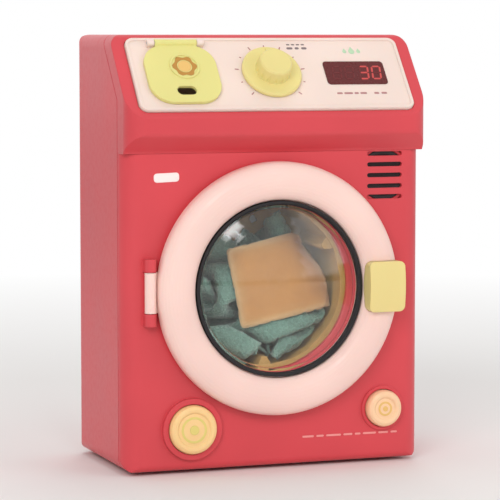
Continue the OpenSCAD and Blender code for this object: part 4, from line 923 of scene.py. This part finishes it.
@dataclass
class Buttons:
    """The start and sound buttons with the printed disc in the middle of each."""

    start: tuple[float, float, float] = (-49.0, 25.0, 13.5)
    sound: tuple[float, float, float] = (64.0, 31.0, 10.3)
    face_out: float = 5.4
    start_travel: float = 0.0025
    sound_travel: float = 0.0025
    seat_play: float = 0.0001

    def build(self) -> None:
        """Dresses the buttons and what is behind them, and adds their discs."""
        dress(AMBER, "start_button")
        dress(APRICOT, "sound_button")
        dress(STEEL, "bracket_screws")
        dress(BLACK, "start_switch", "sound_switch", "start_bracket", "sound_bracket")
        self._coil("start_coil", "start_spring")
        self._coil("sound_coil", "sound_spring")
        self._disc("start_disc", self.start, "start_key", LIME_INK)
        self._disc("sound_disc", self.sound, "sound_key", PEACH_INK)

    def _coil(self, name: str, node: str) -> None:
        """Adds a spring of its solid's form as a piece on the cabinet, in place of the solid.

        Args:
            name: Name of the piece.
            node: The solid spring that it stands for.
        """
        dress(STEEL, node)
        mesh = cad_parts[node].data.copy()
        mesh.materials.clear()
        coil = piece(name, mesh, "cabinet", STEEL)
        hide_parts(node)
        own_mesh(coil)

    def _disc(self, name: str, button: tuple[float, float, float], body: str, finish: Finish) -> None:
        """Adds the ring and dot that are printed in a button's sunk middle."""
        x, z, r = button
        work = PlateWork(FRONT_FACE)
        reach = r - 6.2
        out = self.face_out - 0.6 * reach / (r - 4.6)
        outer, inner = (moved(wavy_ring(r, 0.0, 1, 48), x, z) for r in (reach, reach - 1.3))
        work.band(outer, inner, out - 0.5, out + 0.12)
        work.plate(moved(wavy_ring(reach * 0.36, 0.0, 1, 32), x, z), 4.6, 5.45)
        piece(name, work.mesh(name), body, finish)


class Works:
    """The drum, tub, gears, motor, speaker and batteries inside the cabinet."""

    def build(self) -> None:
        """Dresses each node of the works."""
        dress(DRUM, "drum", "drum_back")
        dress(WHITE, "tub", "drum_bush")
        dress(GEAR, "drum_gear", "idler_gear", "motor_pinion")
        dress(STEEL, "drum_axle", "idler_pin", "motor", "motor_shaft", "battery_contacts")
        dress(STEEL, "tub_screws", "gearbox_screws", "speaker_clamp", "clamp_screws")
        dress(BLACK, "gearbox_cover", "speaker")
        dress(SLEEVE, "batteries")


# ---- Laundry ----


@dataclass(frozen=True)
class Cut:
    """A flat rectangle of cloth as it was cut, and where its middle starts in the drum."""

    name: str
    node: str
    width: float
    length: float
    spacing: float
    start: tuple[float, float, float]
    turn: float
    finish: Finish
    slot: str
    thickness: float
    hem_and_highlight: float

    def grid(self) -> tuple[int, int]:
        """Returns how many rows and columns of points the cut has."""
        return round(self.length / self.spacing) + 1, round(self.width / self.spacing) + 1

    def flat(self) -> np.ndarray:
        """Returns the flat coordinates of its points, row by row, centred."""
        rows, columns = self.grid()
        u = np.linspace(-self.width / 2, self.width / 2, columns)
        v = np.linspace(-self.length / 2, self.length / 2, rows)
        return np.stack(np.meshgrid(u, v), axis=-1).reshape(-1, 2)

    def faces(self, first: int = 0) -> list[tuple[int, int, int, int]]:
        """Returns its quads, counted from a first vertex number."""
        rows, columns = self.grid()
        return [
            (first + a, first + a + 1, first + a + columns + 1, first + a + columns)
            for i in range(rows - 1)
            for a in range(i * columns, i * columns + columns - 1)
        ]

    def placed(self) -> np.ndarray:
        """Returns the points of the flat cut standing upright in the drum, with faint ripples."""
        flat = self.flat()
        c, s = math.cos(math.radians(self.turn)), math.sin(math.radians(self.turn))
        x = flat[:, 0] * c - flat[:, 1] * s + self.start[0]
        z = flat[:, 0] * s + flat[:, 1] * c + self.start[2]
        ripple = 0.0012 * (np.sin(x * 190 + 1.3) * np.cos(z * 160 - 0.4) + 0.7 * np.sin(x * 90 - z * 120))
        return np.stack([x, self.start[1] + ripple, z], axis=1)


@dataclass
class Laundry:
    """Two cloths that are squeezed into the drum and then settle in it by simulation."""

    front_y: float = -0.037
    centre: tuple[float, float] = (0.0, 0.101)
    drum_r: float = 0.046
    lifter_h: float = 0.0066
    lifter_turns: tuple[int, ...] = (30, 150, 270)
    lifter_spread: float = 5.5
    wall_skin: float = 0.0006
    near_wall: float = 0.0168
    far_wall: float = 0.0590
    scale: float = 10.0
    squeeze_frames: int = 46
    settle_frames: int = 24
    start_spread: float = 2.9
    cuts: tuple[Cut, ...] = (
        Cut(
            "terry_towel", "laundry_towel", width=0.190, length=0.160, spacing=0.0040,
            start=(-0.010, 0.031, -0.012), turn=8.0, finish=TEAL_TERRY, slot="teal_cloth",
            thickness=0.0017, hem_and_highlight=0.004,
        ),
        Cut(
            "tan_washcloth", "laundry_cloth", width=0.060, length=0.046, spacing=0.0041,
            start=(0.036, 0.023, 0.074), turn=-22.0, finish=TAN_CLOTH, slot="orange_cloth",
            thickness=0.0009, hem_and_highlight=0.003,
        ),
    )

    def build(self) -> None:
        """Simulates both cloths and adds them as sheets that ride on the drum."""
        shapes = self._simulated()
        made = [self._sheet(cut, points) for cut, points in zip(self.cuts, shapes)]

    def _wall(self) -> bpy.types.Object:
        """Adds the drum's inner wall with its lifters, as a surface that faces inwards."""
        steps, rows = 120, 5
        form = bmesh.new()
        rings = []
        for j in range(rows):
            depth = -0.01 + (self.far_wall + 0.02) * j / (rows - 1)
            ring = []
            for k in range(steps):
                turn = 360 * k / steps
                near = min(abs((turn - t + 180) % 360 - 180) for t in self.lifter_turns)
                bump = self.lifter_h * math.exp(-((near / self.lifter_spread) ** 4))
                r = self.drum_r - self.wall_skin - bump
                a = math.radians(turn)
                ring.append(form.verts.new(Vector((r * math.cos(a), depth, r * math.sin(a))) * self.scale))
            rings.append(ring)
        for low, high in zip(rings, rings[1:]):
            for k in range(steps):
                form.faces.new((low[k], low[(k + 1) % steps], high[(k + 1) % steps], high[k]))
        return self._collider("drum wall", form)

    def _collider(self, name: str, form: bmesh.types.BMesh) -> bpy.types.Object:
        """Turns a form into a surface that the cloth can't pass."""
        mesh = bpy.data.meshes.new(name)
        form.to_mesh(mesh)
        form.free()
        thing = bpy.data.objects.new(name, mesh)
        bpy.context.scene.collection.objects.link(thing)
        thing.modifiers.new("Collision", "COLLISION")
        thing.collision.thickness_outer = 0.012
        thing.collision.thickness_inner = 0.05
        thing.collision.cloth_friction = 4.0
        return thing

    def _disc(self, name: str, depth: float, facing: int) -> bpy.types.Object:
        """Adds a flat end wall at a depth, facing the back (1) or the front (-1)."""
        form = bmesh.new()
        half, steps = 0.17 * self.scale, 12
        points = [
            [form.verts.new((half * (2 * i / steps - 1), depth * self.scale, half * (2 * j / steps - 1)))
             for i in range(steps + 1)]
            for j in range(steps + 1)
        ]
        for j in range(steps):
            for i in range(steps):
                quad = (points[j][i], points[j + 1][i], points[j + 1][i + 1], points[j][i + 1])
                form.faces.new(quad if facing > 0 else quad[::-1])
        return self._collider(name, form)

    def _simulated(self) -> list[np.ndarray]:
        """Squeezes the flat cuts into the drum, lets them settle, and returns their points.

        Returns:
            For each cut, its points in the machine's frame.
        """
        scene = bpy.context.scene
        starts = [cut.placed() for cut in self.cuts]
        verts = np.concatenate(starts) * self.scale
        faces, first = [], 0
        for cut, start in zip(self.cuts, starts):
            faces += cut.faces(first)
            first += len(start)
        mesh = bpy.data.meshes.new("laundry at work")
        mesh.from_pydata(verts.tolist(), [], faces)
        cloth = bpy.data.objects.new("laundry at work", mesh)
        scene.collection.objects.link(cloth)
        wall = self._wall()
        ends = [self._disc("near wall", self.near_wall, 1), self._disc("far wall", self.far_wall, -1)]
        last = self.squeeze_frames + self.settle_frames
        for number, spread in ((1, self.start_spread), (self.squeeze_frames, 1.0)):
            wall.scale = (spread, 1.0, spread)
            wall.keyframe_insert("scale", frame=number)
        for curve in wall.animation_data.action.fcurves:
            for key in curve.keyframe_points:
                key.interpolation = "LINEAR"
        worker = cloth.modifiers.new("Cloth", "CLOTH")
        feel = worker.settings
        feel.quality = 7
        feel.mass = 0.25
        feel.tension_stiffness = feel.compression_stiffness = 30
        feel.shear_stiffness = 6
        feel.bending_stiffness = 14.0
        feel.air_damping = 2.0
        feel.effector_weights.gravity = 0.0
        feel.effector_weights.keyframe_insert("gravity", frame=self.squeeze_frames)
        feel.effector_weights.gravity = 1.0
        feel.effector_weights.keyframe_insert("gravity", frame=self.squeeze_frames + 2)
        touch = worker.collision_settings
        touch.collision_quality = 3
        touch.distance_min = 0.012
        touch.use_self_collision = True
        touch.self_distance_min = 0.015
        touch.self_friction = 4.0
        worker.point_cache.frame_start = 1
        worker.point_cache.frame_end = last
        for number in range(1, last + 1):
            scene.frame_set(number)
        seen = cloth.evaluated_get(bpy.context.evaluated_depsgraph_get())
        settled = np.zeros(len(mesh.vertices) * 3)
        seen.data.vertices.foreach_get("co", settled)
        settled = settled.reshape(-1, 3) / self.scale
        for thing in (cloth, wall, *ends):
            bpy.data.objects.remove(thing)
        scene.frame_set(1)
        settled += np.array([self.centre[0], self.front_y, self.centre[1]])
        return np.split(settled, np.cumsum([len(s) for s in starts])[:-1])

    def _sheet(self, cut: Cut, points: np.ndarray) -> bpy.types.Object:
        """Builds one cloth from its settled points: its cut's coordinates, its hem and its thickness.

        Args:
            cut: The flat cut.
            points: Its points as they lie in the drum.

        Returns:
            The finished piece.
        """
        mesh = bpy.data.meshes.new(cut.name)
        mesh.from_pydata(points.tolist(), [], cut.faces())
        mesh.polygons.foreach_set("use_smooth", [True] * len(mesh.polygons))
        flat = cut.flat()
        layer = mesh.uv_layers.new(name="cut")
        corners = np.zeros(len(mesh.loops), dtype=np.int32)
        mesh.loops.foreach_get("vertex_index", corners)
        layer.data.foreach_set("uv", flat[corners].ravel())
        inside = np.minimum(cut.width / 2 - np.abs(flat[:, 0]), cut.length / 2 - np.abs(flat[:, 1]))
        hem_and_highlight = np.clip(1.5 - inside / cut.hem_and_highlight, 0, 1)
        mesh.attributes.new("hem_and_highlight", "FLOAT", "POINT").data.foreach_set("value", hem_and_highlight)
        thing = piece(cut.name, mesh, "drum", cut.finish)
        group = thing.vertex_groups.new(name="thick")
        for index, share in enumerate(0.62 + 0.38 * hem_and_highlight):
            group.add([index], float(share), "REPLACE")
        smooth = thing.modifiers.new("Smooth folds", "SUBSURF")
        smooth.levels = smooth.render_levels = 1
        body = thing.modifiers.new("Thickness", "SOLIDIFY")
        body.thickness = cut.thickness
        body.offset = 0.0
        body.vertex_group = "thick"
        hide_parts(cut.node)
        return thing


# ---- Studio ----


@dataclass(frozen=True)
class Lamp:
    """A square soft lamp that faces the machine. Gloss and glass show only a mirrored one."""

    name: str
    place: tuple[float, float, float]
    size: float
    power: float
    mirrored: bool = False


@dataclass
class Studio:
    """Pale floor, soft lamps, a bright surround and the camera at the photograph's angle."""

    azimuth: float = -20.0
    elevation: float = 5.0
    distance: float = 1.4
    target: tuple[float, float, float] = (0.0, 0.004, 0.1185)
    lens: float = 178.0
    ambient: float = 0.5
    floor_radii: tuple[float, ...] = (0.25, 0.6, 1.2, 2.5, 6.0)
    floor_fade: tuple[float, float] = (0.35, 1.1)
    lamps: tuple[Lamp, ...] = (
        Lamp("key", (-1.15, -1.5, 1.0), 0.9, 14.0),
        Lamp("window", (-0.2, -1.55, 0.9), 0.34, 3.0, mirrored=True),
        Lamp("fill", (1.3, -1.2, 0.6), 1.0, 6.0),
        Lamp("top", (0.1, 0.3, 1.5), 0.9, 4.0),
        Lamp("back", (0.6, 1.5, 1.1), 0.8, 5.0),
    )

    def build(self) -> None:
        """Builds the floor, the surround, the lamps and the camera."""
        self._floor()
        self._surround()
        for lamp in self.lamps:
            self._lamp(lamp)
        self._camera()

    def _floor(self) -> None:
        """Adds a round floor that fades into the bright surround."""
        form = bmesh.new()
        steps = 96
        turns = [2 * math.pi * k / steps for k in range(steps)]
        middle = form.verts.new((0, 0, 0))
        last: list[bmesh.types.BMVert] = []
        for r in self.floor_radii:
            ring = [form.verts.new((r * math.cos(a), r * math.sin(a), 0)) for a in turns]
            for k in range(steps):
                after = (k + 1) % steps
                if last:
                    form.faces.new((last[k], ring[k], ring[after], last[after]))
                else:
                    form.faces.new((middle, ring[k], ring[after]))
            last = ring
        mesh = bpy.data.meshes.new("floor")
        form.to_mesh(mesh)
        form.free()
        floor = bpy.data.objects.new("floor", mesh)
        bpy.context.scene.collection.objects.link(floor)
        made = bpy.data.materials.new("pale floor")
        made.use_nodes = True
        graph = Graph(made.node_tree)
        away = graph.add("ShaderNodeVectorMath", {0: graph.place()}, operation="LENGTH").outputs["Value"]
        near = graph.add("ShaderNodeBsdfDiffuse", {"Color": srgb(240, 238, 236)})
        far = graph.add("ShaderNodeEmission", {"Color": (1, 1, 1, 1), "Strength": 1.0})
        path = graph.add("ShaderNodeLightPath")
        faded = graph.span(away, *self.floor_fade, 0.0, 1.0)
        share = graph.math("MULTIPLY", faded, path.outputs["Is Camera Ray"])
        both = graph.add("ShaderNodeMixShader", {0: share, 1: near.outputs[0], 2: far.outputs[0]})
        graph.surface(both.outputs[0])
        mesh.materials.append(made)

    def _surround(self) -> None:
        """Lights the object evenly, and shows white to the camera, gloss and glass."""
        world = bpy.data.worlds.new("bright surround")
        world.use_nodes = True
        bpy.context.scene.world = world
        graph = Graph(world.node_tree)
        path = graph.add("ShaderNodeLightPath")
        seen = graph.math(
            "MAXIMUM",
            path.outputs["Is Camera Ray"],
            graph.math("MAXIMUM", path.outputs["Is Glossy Ray"], path.outputs["Is Transmission Ray"]),
        )
        plain = graph.add("ShaderNodeBackground", {"Color": (1, 1, 1, 1), "Strength": self.ambient})
        white = graph.add("ShaderNodeBackground", {"Color": (1, 1, 1, 1), "Strength": 1.0})
        both = graph.add("ShaderNodeMixShader", {0: seen, 1: plain.outputs[0], 2: white.outputs[0]})
        graph.add("ShaderNodeOutputWorld", {"Surface": both.outputs[0]})

    def _lamp(self, lamp: Lamp) -> None:
        """Hangs a lamp."""
        data = bpy.data.lights.new(lamp.name, "AREA")
        data.shape, data.size, data.energy = "SQUARE", lamp.size, lamp.power
        thing = bpy.data.objects.new(lamp.name, data)
        thing.location = lamp.place
        thing.visible_glossy = lamp.mirrored
        thing.rotation_euler = (Vector(self.target) - Vector(lamp.place)).to_track_quat("-Z", "Y").to_euler()
        bpy.context.scene.collection.objects.link(thing)

    def _camera(self) -> None:
        """Places the camera at the photograph's angle."""
        a, e = math.radians(self.azimuth), math.radians(self.elevation)
        back = Vector((math.sin(a) * math.cos(e), -math.cos(a) * math.cos(e), math.sin(e)))
        data = bpy.data.cameras.new("camera")
        data.lens, data.sensor_width = self.lens, 36.0
        camera = bpy.data.objects.new("camera", data)
        camera.location = Vector(self.target) + back * self.distance
        camera.rotation_euler = (-back).to_track_quat("-Z", "Y").to_euler()
        bpy.context.scene.collection.objects.link(camera)
        bpy.context.scene.camera = camera


def main() -> None:
    """Builds the whole visual model in order."""
    logging.basicConfig(level=logging.INFO, format="%(name)s: %(message)s")
    scene = bpy.context.scene
    scene.view_settings.view_transform = "Standard"
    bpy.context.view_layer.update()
    Studio().build()
    for part in (Cabinet(), ControlHead(), Door(), Buttons(), Works(), Laundry()):
        part.build()
        log.info("%s is done", type(part).__name__)
    bpy.context.view_layer.update()


if __name__ == "__main__":
    main()
